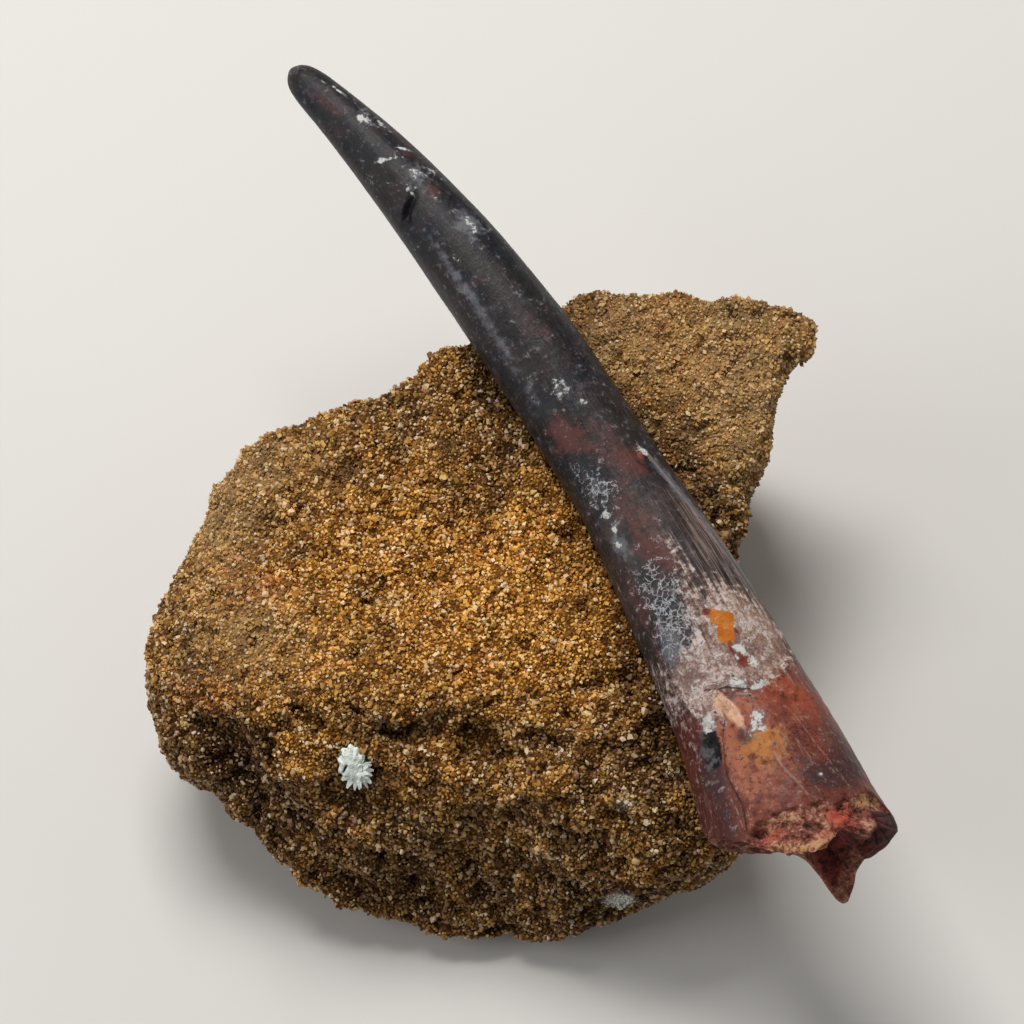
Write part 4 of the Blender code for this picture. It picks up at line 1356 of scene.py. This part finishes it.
# Each stain's patches on the broad face: middle, half spans and strength.
STONE_STAINS = {
    Stain.GOLD_AND_LIGHT: patches(
        (-17, -1, 14, 9, 0.58), (-8, -12, 20, 7.5, 0.72), (4, -9, 8, 9, 1.4), (-24, -16, 8, 6, 0.42),
        (-8, -30, 8, 4, 0.42), (-24, -26, 4, 3, 0.42), (24, 17, 9, 6, 0.56), (16, -38, 6, 4, 0.42),
    ),
    Stain.UMBER_AND_SHADE: patches(
        (-2, 8, 3, 7, 0.8), (7, -2.5, 2.5, 4, 0.6), (13.5, -16, 3, 6, 0.9), (-10, -24, 9, 1.4, 0.6),
        (-31, -27, 5, 4, 0.9), (-24, -35, 7, 4, 0.5), (-5, -44, 18, 5, 0.6), (23, -1, 3, 5, 0.4),
        (18.7, 8.7, 3, 3, 0.7), (-18.8, 3.8, 3, 2, 0.5),
    ),
    Stain.RUST: patches(
        (10.7, 21.6, 3, 2, 0.8), (22.6, 15.6, 5, 1.5, 0.6), (-30.2, -8, 4, 3, 0.6), (-35, -20, 4, 3, 0.8),
        (16, 21, 4, 3, 0.6), (22, 3, 4, 3, 0.5), (-31, -9, 4, 3, 0.5), (10, -42, 5, 3, 0.5), (-20, -38, 5, 3, 0.5),
    ),
    Stain.ASH: patches(
        (6.5, -1, 2, 2.5, 0.6), (9.5, -9, 3, 3, 0.5), (-29, -14, 6, 4, 0.9), (-33, 0, 4, 5, 0.7), (14, -31, 3, 3, 0.6),
    ),
    Stain.DUST: patches(
        (24, 19, 9, 6, 1.1), (27, 9, 5, 6, 0.9), (12, 19, 4, 4, 0.7), (-33.5, -2, 4, 5, 0.9), (-29, -14, 6, 3.5, 0.9),
        (-28, 5, 5, 3, 0.6),
    ),
    Stain.LIME: patches(
        (12.3, -44.3, 1.6, 0.8, 1.3), (12.5, -32.5, 1.8, 1, 0.45),
    ),
}
# Hollows and lumps of the broad face: middle, half spans, rise and turn.
STONE_DENTS = patches(
    (-0.8, -27.6, 1.6, 1.2, -1.5), (-13, -24.6, 2.2, 1, -1.3), (-4.5, -24.8, 4, 1, -1.1),
    (11.5, -19, 3.5, 1.1, -1.3, 12), (17, -25, 2.5, 3, -0.9), (-33, -24.5, 4, 2, -1.4, -35),
    (-29, -31, 5, 2, -1.4, -50), (10.5, -36.5, 5, 1.2, -1.1, 8), (-12, -36, 5, 1.2, -0.9, -12),
    (-20, -41.5, 4, 1.2, -0.9, -35), (6.5, -3, 2, 1.5, -0.9), (-25.5, -1.5, 3, 1.5, -0.6), (23.5, 4, 3, 2, -0.8),
    (15, -41, 5, 3, 0.8), (-24, -29, 4, 1.4, 0.8, -54), (-6, -31.5, 4, 2.5, 0.7), (19, 16, 2.5, 1, -0.7, -60),
    (31.2, 13.6, 2, 2.2, -0.4, 15), (33.6, 16.4, 1.6, 1.2, -0.7), (34.2, 19.5, 2, 1.8, 0.9),
    (13, -44.5, 6.5, 2.2, -1.5, 24), (-7.2, 17.8, 2, 1.4, 1.3), (0, -34, 3, 1.2, -1.2, 30), (19, -35, 3, 1.5, -1, -40),
    (-17, -31, 3, 1.2, -1, 60), (5, -30, 2.5, 1.6, 0.8), (-15, -27.5, 2.5, 1.2, 0.7), (20, -20, 2, 3, -0.8),
)
GRAIN_CORNERS = np.array(((0.2, 0.2), (0.8, 0.2), (0.5, 0.8)))  # a triangle's corners in its grain's cell of the map


@dataclass
class SandstoneMatrix:
    """The sandstone lump: a cemented skin with loose-looking sand grains in it, in millimetres."""

    stance: Stance
    run: ToothRun = ToothRun()  # the tooth that is bedded in it
    voxel: float = 0.5  # size of the skin's faces
    inset: float = 0.14  # how far the skin lies below the grains' own level
    rough: tuple[Rough, ...] = (Rough(0.5, 5.0, 1.9, 2), Rough(0.3, 2.2, 1.9, 2), Rough(0.22, 1.2, 1.9, 2))
    ridges: Rough = Rough(0.9, 6.5, 4.3, 3)
    pits: Rough = Rough(1.0, 1.7, 8.8, 2)  # where grains have crumbled out
    pit_depth: float = 0.7
    facet_edge: float = -20.5  # height on the face below which the stone broke more roughly
    broken_rise: float = 0.35  # how much rougher it is there
    spacing: float = 0.33  # least distance between two grains
    grain: float = 0.215  # middle radius of a grain
    spread: float = 0.26  # how much the grains' sizes vary
    size_limits: Pair = (0.12, 0.40)
    stretch: Pair = (0.65, 1.25)  # least and most that a grain is drawn out along each axis
    proud: Pair = (0.02, 0.09)  # how far the grains' middles stand out of the skin, and its spread
    contact: float = 0.16  # least distance of a grain's middle from the tooth
    floor_gap: float = 0.25  # and from the floor
    bare: float = 0.92  # the share of the white crust's box that has no grains
    tries: float = 4.0  # how many places are tried for each grain
    clumps: Rough = Rough(0.24, 1.2, 7.1, 2)  # where the grains are paler or darker together
    heaps: int = 6  # how many pieces the grains are joined in
    seed: int = 7

    def stain_fields(self, points: Array, relief: Array) -> dict[str, Array]:
        """Measures how strongly each kind of stain lies on points of the face frame; two of them also carry painted
        light and shade.

        Args:
            points: The points.
            relief: The skin's own height there; hollows take painted shade and ridges painted light.

        Returns:
            A number for each point, by the stain's name.
        """
        u, v, w = points.T
        drift, blotch = 0.3 * bumps(points, 9.0, 2.5, 3), bumps(points, 2.4, 6.1, 2)
        total = {
            kind: sum(patch.lie(u - patch.x, v - patch.y) for patch in stains) for kind, stains in STONE_STAINS.items()
        }
        total[Stain.LIME] *= ease(-24.0, -19.0, w)
        # Painted light on the ridges and painted shade in the hollows, by the skin's own height.
        total[Stain.GOLD_AND_LIGHT] += drift + 0.38 * blotch + 0.35 * ease(0.0, 0.9, relief)
        total[Stain.UMBER_AND_SHADE] -= drift + 0.45 * blotch + 0.3 * ease(0.1, 0.9, relief) - 0.9 * ease(0.35, 1.9, -relief)
        total[Stain.RUST] += 0.6 * bumps(points, 4.5, 9.4, 2) - 0.1
        total[Stain.ASH] += 0.6 * bumps(points, 5.5, 3.7, 2) - 0.15
        return {kind.field: values for kind, values in total.items()}

    def skin(self, source: Piece) -> Piece:
        """Makes the cemented skin from a copy of the plain lump.

        Args:
            source: The plain solid that the skin stands for.

        Returns:
            The skin, uneven all over and flat underneath.
        """
        piece = copy_solid(source, "sandstone_skin")
        finish_with(piece, "REMESH", mode="VOXEL", voxel_size=self.voxel * MM, adaptivity=0.0)
        finish_with(piece, "SMOOTH", factor=0.5, iterations=2)
        points, normals = read(piece.data.vertices, "co"), read(piece.data.vertex_normals, "vector")
        place, face = points / MM, self.stance.to_face(points)
        outward = self.stance.to_face(points + normals * MM) - face
        height = sum(rough.at(place) for rough in self.rough)
        height += self.ridges.height * 0.35 - np.abs(self.ridges.at(place))
        height -= self.pit_depth * ease(0.15, 0.45, self.pits.at(place))
        broken = (1.0 - ease(self.facet_edge - 2.0, self.facet_edge, face[:, 1])) * ease(0.3, 0.7, outward[:, 2])
        height *= 1.0 + self.broken_rise * broken
        dents = sum(dent.lie(face[:, 0] - dent.x, face[:, 1] - dent.y, 0.9) for dent in STONE_DENTS)
        height += dents * ease(-33.0, -27.0, face[:, 2]) - self.inset
        write_fields(piece, {"relief": height})
        points += normals * (height * ease(0.0, 1.0, place[:, 2]) * MM)[:, None]
        points[:, 2] = np.maximum(points[:, 2], 0.0)
        write_points(piece, points)
        bpy.ops.object.shade_smooth()
        return piece

    def scatter(self, skin: Piece) -> tuple[Array, Array, Array]:
        """Finds a place for each grain on the skin.

        Args:
            skin: The surface that carries the grains.

        Returns:
            Places and outward directions, one a row, in metres, and the skin's own
            height at each place, in millimetres.
        """
        tree = bpy.data.node_groups.new("scatter", "GeometryNodeTree")
        for way in ("INPUT", "OUTPUT"):
            tree.interface.new_socket("Geometry", in_out=way, socket_type="NodeSocketGeometry")
        start, spread, keep, ends, end = (tree.nodes.new(kind) for kind in (
            "NodeGroupInput", "GeometryNodeDistributePointsOnFaces", "GeometryNodeStoreNamedAttribute",
            "GeometryNodePointsToVertices", "NodeGroupOutput",
        ))
        spread.distribute_method = "POISSON"
        keep.data_type = "FLOAT_VECTOR"
        for node, name, value in (
            (spread, "Distance Min", self.spacing * MM), (spread, "Density Max", self.tries / (self.spacing * MM) ** 2),
            (spread, "Seed", self.seed), (keep, "Name", "outward"),
        ):
            node.inputs[name].default_value = value
        for given, output, node, name in (
            (start, "Geometry", spread, "Mesh"), (spread, "Points", keep, "Geometry"),
            (spread, "Normal", keep, "Value"), (keep, "Geometry", ends, "Points"), (ends, "Mesh", end, "Geometry"),
        ):
            tree.links.new(given.outputs[output], node.inputs[name])
        modifier = skin.modifiers.new("Scatter", "NODES")
        modifier.node_group = tree
        shown = skin.evaluated_get(bpy.context.evaluated_depsgraph_get())
        mesh = shown.to_mesh()
        outward, relief = (mesh.attributes[name].data for name in ("outward", "relief"))
        found = read(mesh.vertices, "co"), read(outward, "vector"), read(relief, "value", 1)
        shown.to_mesh_clear()
        skin.modifiers.remove(modifier)
        bpy.data.node_groups.remove(tree)
        return found

    def grain_shapes(self) -> list[Shape]:
        """Models the kinds of sand grain: dented balls, blocks and worn splinters.

        Returns:
            Points and triangles of each kind.
        """
        return [
            take_dented(start_piece(primitive, "grain_start", **settings), dents, number)
            for primitive, settings, dents, count in (
                (bpy.ops.mesh.primitive_ico_sphere_add, {"subdivisions": 1, "radius": 1.0}, 0.30, 2),
                (bpy.ops.mesh.primitive_cube_add, {"size": 1.4}, 0.55, 5),
                (bpy.ops.mesh.primitive_uv_sphere_add, {"segments": 4, "ring_count": 3, "radius": 1.15}, 0.5, 3),
            )
            for number in range(count)
        ]

    def grains(self, name: str, places: Array, outward: Array, relief: Array,
               chance: np.random.Generator, shapes: list[Shape]) -> Piece:
        """Joins the grains at some places into one piece.

        Args:
            name: The piece's name.
            places: The grains' places, in metres.
            outward: The outward direction at each place.
            relief: The skin's own height at each place.
            chance: Source of the grains' turns, sizes and tones.
            shapes: The grain shapes to choose from.

        Returns:
            The joined grains.
        """
        count = len(places)
        size = np.clip(self.grain * np.exp(self.spread * chance.standard_normal(count)), *self.size_limits) * MM
        stretch = chance.uniform(*self.stretch, (count, 3)) * size[:, None]
        turns, _ = np.linalg.qr(chance.standard_normal((count, 3, 3)))
        turns *= np.sign(np.linalg.det(turns))[:, None, None]
        proud, spread = self.proud
        middles = places + outward * (proud * MM + chance.normal(0.0, spread * MM, count))[:, None]
        choice = chance.integers(0, len(shapes), count)
        cells = math.ceil(math.sqrt(count))
        corner = np.stack([np.arange(count) % cells, np.arange(count) // cells], -1)[:, None, :] + GRAIN_CORNERS
        points, faces, owners, made = [], [], [], 0
        for kind, (shape, sides) in enumerate(shapes):
            chosen = np.flatnonzero(choice == kind)
            local = shape[None] * stretch[chosen, None, :]
            placed = np.einsum("nij,nkj->nki", turns[chosen], local) + middles[chosen, None, :]
            points.append(placed.reshape(-1, 3))
            faces.append(repeat(sides, len(shape), len(chosen), made))
            owners.append(np.repeat(chosen, len(shape)))
            made += len(points[-1])
        joined, owner, triangles = np.vstack(points), np.concatenate(owners), np.vstack(faces)
        joined[:, 2] = np.maximum(joined[:, 2], 0.0)
        piece = new_piece(name, joined, triangles)
        write_map(piece, corner[owner[triangles[:, 0]]].reshape(-1, 2) / cells)
        face = self.stance.to_face(places)
        tone = np.clip(chance.random(count) + self.clumps.at(face), 0.0, 1.0)
        fields = {"tone": tone, "hue": chance.random(count)} | self.stain_fields(face, relief)
        write_fields(piece, {kind: values[owner] for kind, values in fields.items()})
        return piece

    def build(self, source: Piece, crust: tuple[Vector, Vector]) -> None:
        """Models the stone's skin and grains and dresses them.

        Args:
            source: The plain solid that they stand for.
            crust: The box of the white crust, which has no sand over it.
        """
        skin, finish = self.skin(source), SandFinish()
        found = self.scatter(skin)
        places = found[0]
        free = (self.run.clearance(self.stance.to_face(places)) > self.contact) & (places[:, 2] > self.floor_gap * MM)
        low, high = np.array(crust[0]), np.array(crust[1])
        free &= (((places - (low + high) / 2.0) / ((high - low) / 2.0 * self.bare)) ** 2).sum(1) > 1.0
        found = [values[free] for values in found]
        away = found[0] - found[0].mean(0)
        order = np.argsort(np.arctan2(away[:, 1], away[:, 0]))
        own = read(skin.data.attributes["relief"].data, "value", 1)
        write_fields(skin, self.stain_fields(self.stance.to_face(read(skin.data.vertices, "co")), own))
        mount(skin, finish.cement(), "sandstone", "sandstone_matrix")
        chance, shapes, sand = np.random.default_rng(self.seed), self.grain_shapes(), finish.sand()
        for number, heap in enumerate(np.array_split(order, self.heaps), 1):
            picked = (values[heap] for values in found)
            mount(self.grains(f"sand_grains_{number}", *picked, chance, shapes), sand, "sandstone")


@dataclass(frozen=True)
class SandFinish:
    """The sandstone's cement and its grains."""

    tones: Shades = (  # the common grains, from the darkest to the palest
        (0.0, (0.062, 0.022, 0.004)), (0.2, (0.19, 0.087, 0.016)), (0.6, (0.35, 0.192, 0.054)),
        (0.86, (0.50, 0.330, 0.130)), (1.0, (0.66, 0.52, 0.32)),
    )
    rosy: Shades = (  # the pinkish and glassy grains
        (0.0, (0.08, 0.030, 0.010)), (0.3, (0.24, 0.120, 0.052)), (0.7, (0.46, 0.280, 0.150)),
        (1.0, (0.68, 0.53, 0.40)),
    )
    cement_dark: Colour = (0.07, 0.025, 0.004)
    cement_pale: Colour = (0.28, 0.142, 0.034)

    def stained(self, b: Bench, colour: Amount) -> Amount:
        """Lays the stone's stains over a colour, with painted light and shade in two of them; the palest grains take
        less of them.

        Args:
            b: The bench that the finish is put together on.
            colour: The clean colour.

        Returns:
            The stained colour.
        """
        clean = 1.0 - b.field("tone").rise(0.72, 0.94) * 0.75
        for kind in (Stain.GOLD_AND_LIGHT, Stain.UMBER_AND_SHADE, Stain.RUST, Stain.ASH):
            colour = b.blend(b.field(kind.field).held() * clean, colour, kind, "MULTIPLY")
        dust, lime = b.field(Stain.DUST.field).held() * 0.45, b.field(Stain.LIME.field).rise(0.2, 0.9)
        return b.coat(colour, (dust, Stain.DUST), (lime, Stain.LIME))

    def sand(self) -> bpy.types.Material:
        """Makes the grains' finish: each has one tone, and the stains change it.

        Returns:
            The material.
        """
        b = Bench("sand_grains")
        tone = b.field("tone")
        colour = b.coat(b.palette(tone, self.tones), (b.field("hue").rise(0.66, 0.76), b.palette(tone, self.rosy)))
        rough = 0.66 - tone * 0.26
        return b.finish(Base_Color=self.stained(b, colour), Roughness=rough, Specular_IOR_Level=0.3)

    def cement(self) -> bpy.types.Material:
        """Makes the finish of the cement between the grains, golden brown with dark pits.

        Returns:
            The material.
        """
        b = Bench("sandstone_cement")
        specks = b.cells(b.place(), 0.4 * MM).fall(0.15, 0.55)
        share = (b.clouds(b.place(), 0.4 * MM, 3.0, 0.7) * 0.65 + specks * 0.35).rise(0.3, 0.68)
        colour = self.stained(b, b.coat(self.cement_dark, (share, self.cement_pale)))
        bump = b.relief((specks, 0.15))
        return b.finish(Base_Color=colour, Roughness=0.95, Normal=bump, Specular_IOR_Level=0.2)


# ---- The white crust ----


@dataclass(frozen=True)
class Blade:
    """One tier of the rosette's crystal blades, fanned round its middle."""

    count: int
    bearings: Pair  # the first and last blade's bearing on the face, in degrees
    reach: Pair  # shortest and longest blade, as shares of the rosette's own reach
    climb: Pair  # least and greatest tilt out of the face, in degrees
    width: float  # a blade's half width, in millimetres
    base: float  # how far out of the face the blades start


@dataclass
class WhiteCrust:
    """The small rosette of white crystals on the stone's lower left.

    Its own axes are the plain solid's: across the face, up it and out of it, in millimetres.
    """

    core_scale: Triple = (0.76, 0.88, 0.98)  # the smooth core's size, as shares of the plain solid's
    core_shift: Triple = (0.0, 0.52, 0.0)  # how far the core lies from the solid's middle
    heart: Pair = (0.45, 0.15)  # where the blades fan out from
    reach: Stops = (  # how far they reach from there, by bearing in degrees
        (-140.0, 2.3), (-100.0, 2.85), (-55.0, 2.5), (-15.0, 1.95), (30.0, 1.95), (55.0, 2.0), (75.0, 2.85),
    )
    tiers: tuple[Blade, ...] = (
        Blade(11, (-142.0, 58.0), (0.88, 1.04), (2.0, 12.0), 0.30, 0.25),
        Blade(9, (-72.0, 52.0), (0.64, 0.86), (12.0, 24.0), 0.25, 0.40),
        Blade(6, (-66.0, 34.0), (0.40, 0.60), (20.0, 38.0), 0.22, 0.50),
        Blade(5, (62.0, 118.0), (0.90, 1.04), (0.0, 8.0), 0.16, 0.20),
    )
    profile: Stops = ((0.0, 0.5), (0.5, 0.92), (0.78, 1.0), (0.94, 0.62), (1.0, 0.3))  # a blade's width along it
    thick: float = 0.13  # a blade's half thickness
    # The slits are sunk into the core and painted dark: painted shade in the gaps between the crystals.
    slits: tuple[tuple[float, ...], ...] = (  # (across, up, half length, half width, turn) of the core's dark slits
        (-0.83, 0.29, 0.60, 0.13, 66.0), (-0.57, -0.72, 0.24, 0.09, 10.0), (-0.49, -1.28, 0.22, 0.08, 30.0),
        (0.93, -0.18, 0.32, 0.10, 15.0), (1.34, 1.17, 0.36, 0.10, 60.0), (0.18, -1.22, 0.32, 0.13, -80.0),
    )
    slit_depth: float = 0.6
    lumps: Rough = Rough(0.10, 0.8, 3.0, 3)
    stray: float = 4.0  # how far a blade strays from its bearing, in degrees
    roll: float = 0.25  # and how far it rolls over
    widths: Pair = (0.75, 1.25)  # the narrowest and widest, as shares of their tier's width
    blade_shade: float = 0.25  # how dark the darkest of them is
    seed: int = 11

    def blade(self) -> Shape:
        """Models one crystal blade along X, a unit long, wide and thick.

        Returns:
            Its points and triangles.
        """
        piece = start_piece(bpy.ops.mesh.primitive_cube_add, "blade_start", size=1.0, location=(0.5, 0.0, 0.0))
        bpy.ops.object.transform_apply(location=True, rotation=False, scale=False)
        points, faces = take_dented(piece, 0.05, 4, lambda: bpy.ops.mesh.subdivide(number_cuts=2))
        points[:, 1:] *= 2.0 * smooth_curve(self.profile, points[:, :1])
        return points, faces

    def slit(self, local: Array) -> Array:
        """Measures how deep the core's points lie in its slits.

        Args:
            local: The points, in the rosette's own axes.

        Returns:
            0 outside the slits, 1 in their middles.
        """
        deep = np.zeros(len(local))
        for across, up, half, thin, turn in self.slits:
            along, off = turned(local[:, 0] - across, local[:, 1] - up, turn)
            deep = np.maximum(deep, np.exp(-0.8 * ((along / half) ** 4 + (off / thin) ** 2)))
        return deep * (local[:, 2] > 0.0)

    def fan(self, tier: Blade, shape: Array, chance: np.random.Generator) -> Array:
        """Places a tier's blades in the rosette's own axes.

        Args:
            tier: The tier.
            shape: A blade's points.
            chance: Source of the blades' turns and lengths.

        Returns:
            The points, blade by blade.
        """
        even = np.linspace(*tier.bearings, tier.count) + self.stray * chance.standard_normal(tier.count)
        reach = smooth_curve(self.reach, even) * chance.uniform(*tier.reach, tier.count)
        bearing, climb = np.radians(even), np.radians(chance.uniform(*tier.climb, tier.count))
        flat, zero = np.cos(climb), np.zeros(tier.count)
        out = np.stack([np.cos(bearing) * flat, np.sin(bearing) * flat, np.sin(climb)], -1)
        side = np.stack([-np.sin(bearing), np.cos(bearing), self.roll * chance.standard_normal(tier.count)], -1)
        side -= out * (side * out).sum(1)[:, None]
        side /= np.linalg.norm(side, axis=1)[:, None]
        axes = np.stack([out, side, np.cross(out, side)], 1)
        size = np.stack([reach, tier.width * chance.uniform(*self.widths, tier.count), zero + self.thick], -1)
        return np.einsum("nij,njk->nik", shape[None] * size[:, None, :], axes) + (*self.heart, tier.base)

    def build(self, source: Piece, stance: Stance) -> None:
        """Models the rosette as a smooth core with slits and blades fanned out over it.

        Args:
            source: The plain solid in whose place it is.
            stance: How the specimen stands.
        """
        core = copy_solid(source, "white_crust")
        finish_with(core, "SUBSURF", levels=2, render_levels=2)
        points = read(core.data.vertices, "co")
        middle = (points.min(0) + points.max(0)) / 2.0
        up, across, out = np.linalg.svd(points - middle, full_matrices=False)[2]
        face_up = np.array(stance.matrix())[:3, 1]
        axes = np.stack([across * np.sign(across[0]), up * np.sign(up @ face_up), out * np.sign(out[2])])
        local = (points - middle) @ axes.T / MM * self.core_scale + self.core_shift
        slit = self.slit(local)
        local += (local - self.core_shift) * self.lumps.at(local)[:, None]
        local[:, 2] -= self.slit_depth * slit
        write_points(core, middle + local @ axes * MM)
        write_fields(core, {"shade": slit})
        chance, (shape, faces) = np.random.default_rng(self.seed), self.blade()
        blades = np.concatenate([self.fan(tier, shape, chance) for tier in self.tiers])
        placed = middle + blades.reshape(-1, 3) @ axes * MM
        fan = new_piece("crust_blades", placed, repeat(faces, len(shape), len(blades)))
        write_fields(fan, {"shade": np.repeat(chance.uniform(0.0, self.blade_shade, len(blades)), len(shape))})
        take_up(core, fan)
        bpy.ops.object.join()
        edit_all(core, lambda: bpy.ops.mesh.normals_make_consistent(inside=False))
        mount(core, self.material(), "white_crust", "white_crust_rosette")

    def material(self) -> bpy.types.Material:
        """Makes the crystals' finish: matt white with a faint mint cast, darkened in the slits as painted shade.

        Returns:
            The material.
        """
        b = Bench("white_crust_finish")
        cloud, soft, fine = (b.clouds(b.place(), size * MM) for size in (1.2, 0.3, 0.25))
        # Painted shade in the core's slits; on the blades the same field holds a random darkening of each.
        shade = (b.field("shade") + soft.swing(0.3)).rise(0.05, 0.85)
        white = b.coat((0.78, 0.87, 0.81), (cloud.rise(0.35, 0.7), (0.91, 0.95, 0.91)))
        colour = b.coat(white, (shade, (0.09, 0.10, 0.075)))
        return b.finish(Base_Color=colour, Roughness=0.85, Normal=b.relief((fine, 0.1)))


# ---- The studio ----


@dataclass(frozen=True)
class Lamp:
    """One soft lamp."""

    name: str
    place: Triple  # where it hangs, in metres
    size: Pair  # its width and height, in metres
    power: float  # in watts
    colour: Colour
    aim: Triple = (0.0, 0.0, 0.03)  # where it points, in metres

    def hang(self) -> None:
        """Adds the lamp, aimed at the specimen."""
        light = bpy.data.lights.new(self.name, "AREA")
        light.shape, light.energy, light.color = "RECTANGLE", self.power, self.colour
        light.size, light.size_y = self.size
        lamp = link(self.name, light)
        lamp.location = self.place
        lamp.rotation_euler = (Vector(self.aim) - lamp.location).to_track_quat("-Z", "Y").to_euler()


@dataclass
class Studio:
    """The plain pale floor, the soft lamps and the camera."""

    stance: Stance
    distance: float = 420.0  # the camera's, from the broad face, in millimetres
    lens: float = 131.25  # its focal length, in millimetres
    sensor: float = 36.0  # its sensor's width, in millimetres
    clip: Pair = (0.01, 20.0)  # the nearest and farthest that it sees, in metres
    floor_radius: float = 4.0  # in metres
    floor_colour: Colour = (0.72, 0.71, 0.69)
    room_colour: Colour = (1.0, 0.98, 0.95)  # the soft light from all round, and its strength
    room_strength: float = 0.17
    lamps: tuple[Lamp, ...] = (
        Lamp("top_softbox", (-0.12, 0.30, 0.60), (0.36, 0.26), 3.9, (1.0, 0.975, 0.94)),
        Lamp("left_softbox", (-0.52, -0.10, 0.34), (0.30, 0.40), 1.05, (0.98, 0.99, 1.0)),
        Lamp("right_softbox", (0.55, 0.10, 0.30), (0.30, 0.40), 0.35, (1.0, 0.97, 0.94)),
    )

    def lay_floor(self) -> None:
        """A round and plain pale floor."""
        disc = {"vertices": 96, "radius": self.floor_radius, "fill_type": "NGON"}
        floor = start_piece(bpy.ops.mesh.primitive_circle_add, "studio_floor", **disc)
        finish = Bench("pale_floor").finish(Base_Color=(*self.floor_colour, 1.0), Roughness=0.9)
        floor.data.materials.append(finish)

    def light(self) -> None:
        """Hangs the lamps and fills the room with soft light."""
        for lamp in self.lamps:
            lamp.hang()
        world = bpy.data.worlds.new("soft_room")
        world.use_nodes = True
        background = world.node_tree.nodes["Background"]
        background.inputs["Color"].default_value = (*self.room_colour, 1.0)
        background.inputs["Strength"].default_value = self.room_strength
        bpy.context.scene.world = world

    def set_camera(self) -> None:
        """Looks square onto the broad face from the right distance."""
        data = bpy.data.cameras.new("camera")
        data.lens, data.sensor_width, (data.clip_start, data.clip_end) = self.lens, self.sensor, self.clip
        camera = link("camera", data)
        camera.location = self.stance.matrix() @ Vector((0.0, 0.0, self.distance))
        camera.rotation_euler.x = math.radians(self.stance.lean)
        bpy.context.scene.camera = camera

    def build(self) -> None:
        """Sets the studio up."""
        self.lay_floor()
        self.light()
        self.set_camera()
        bpy.context.scene.view_settings.view_transform = "Standard"


def main() -> None:
    """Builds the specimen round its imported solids, and the studio round it."""
    logging.basicConfig(level=logging.INFO, format="%(name)s: %(message)s")
    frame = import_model()
    nodes = frame["nodes"]
    stance = Stance()
    Studio(stance).build()
    SpinosaurusTooth(stance).build()
    SandstoneMatrix(stance).build(nodes["sandstone_matrix"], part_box("white_crust_rosette"))
    WhiteCrust().build(nodes["white_crust_rosette"], stance)
    take_up()


if __name__ == "__main__":
    main()
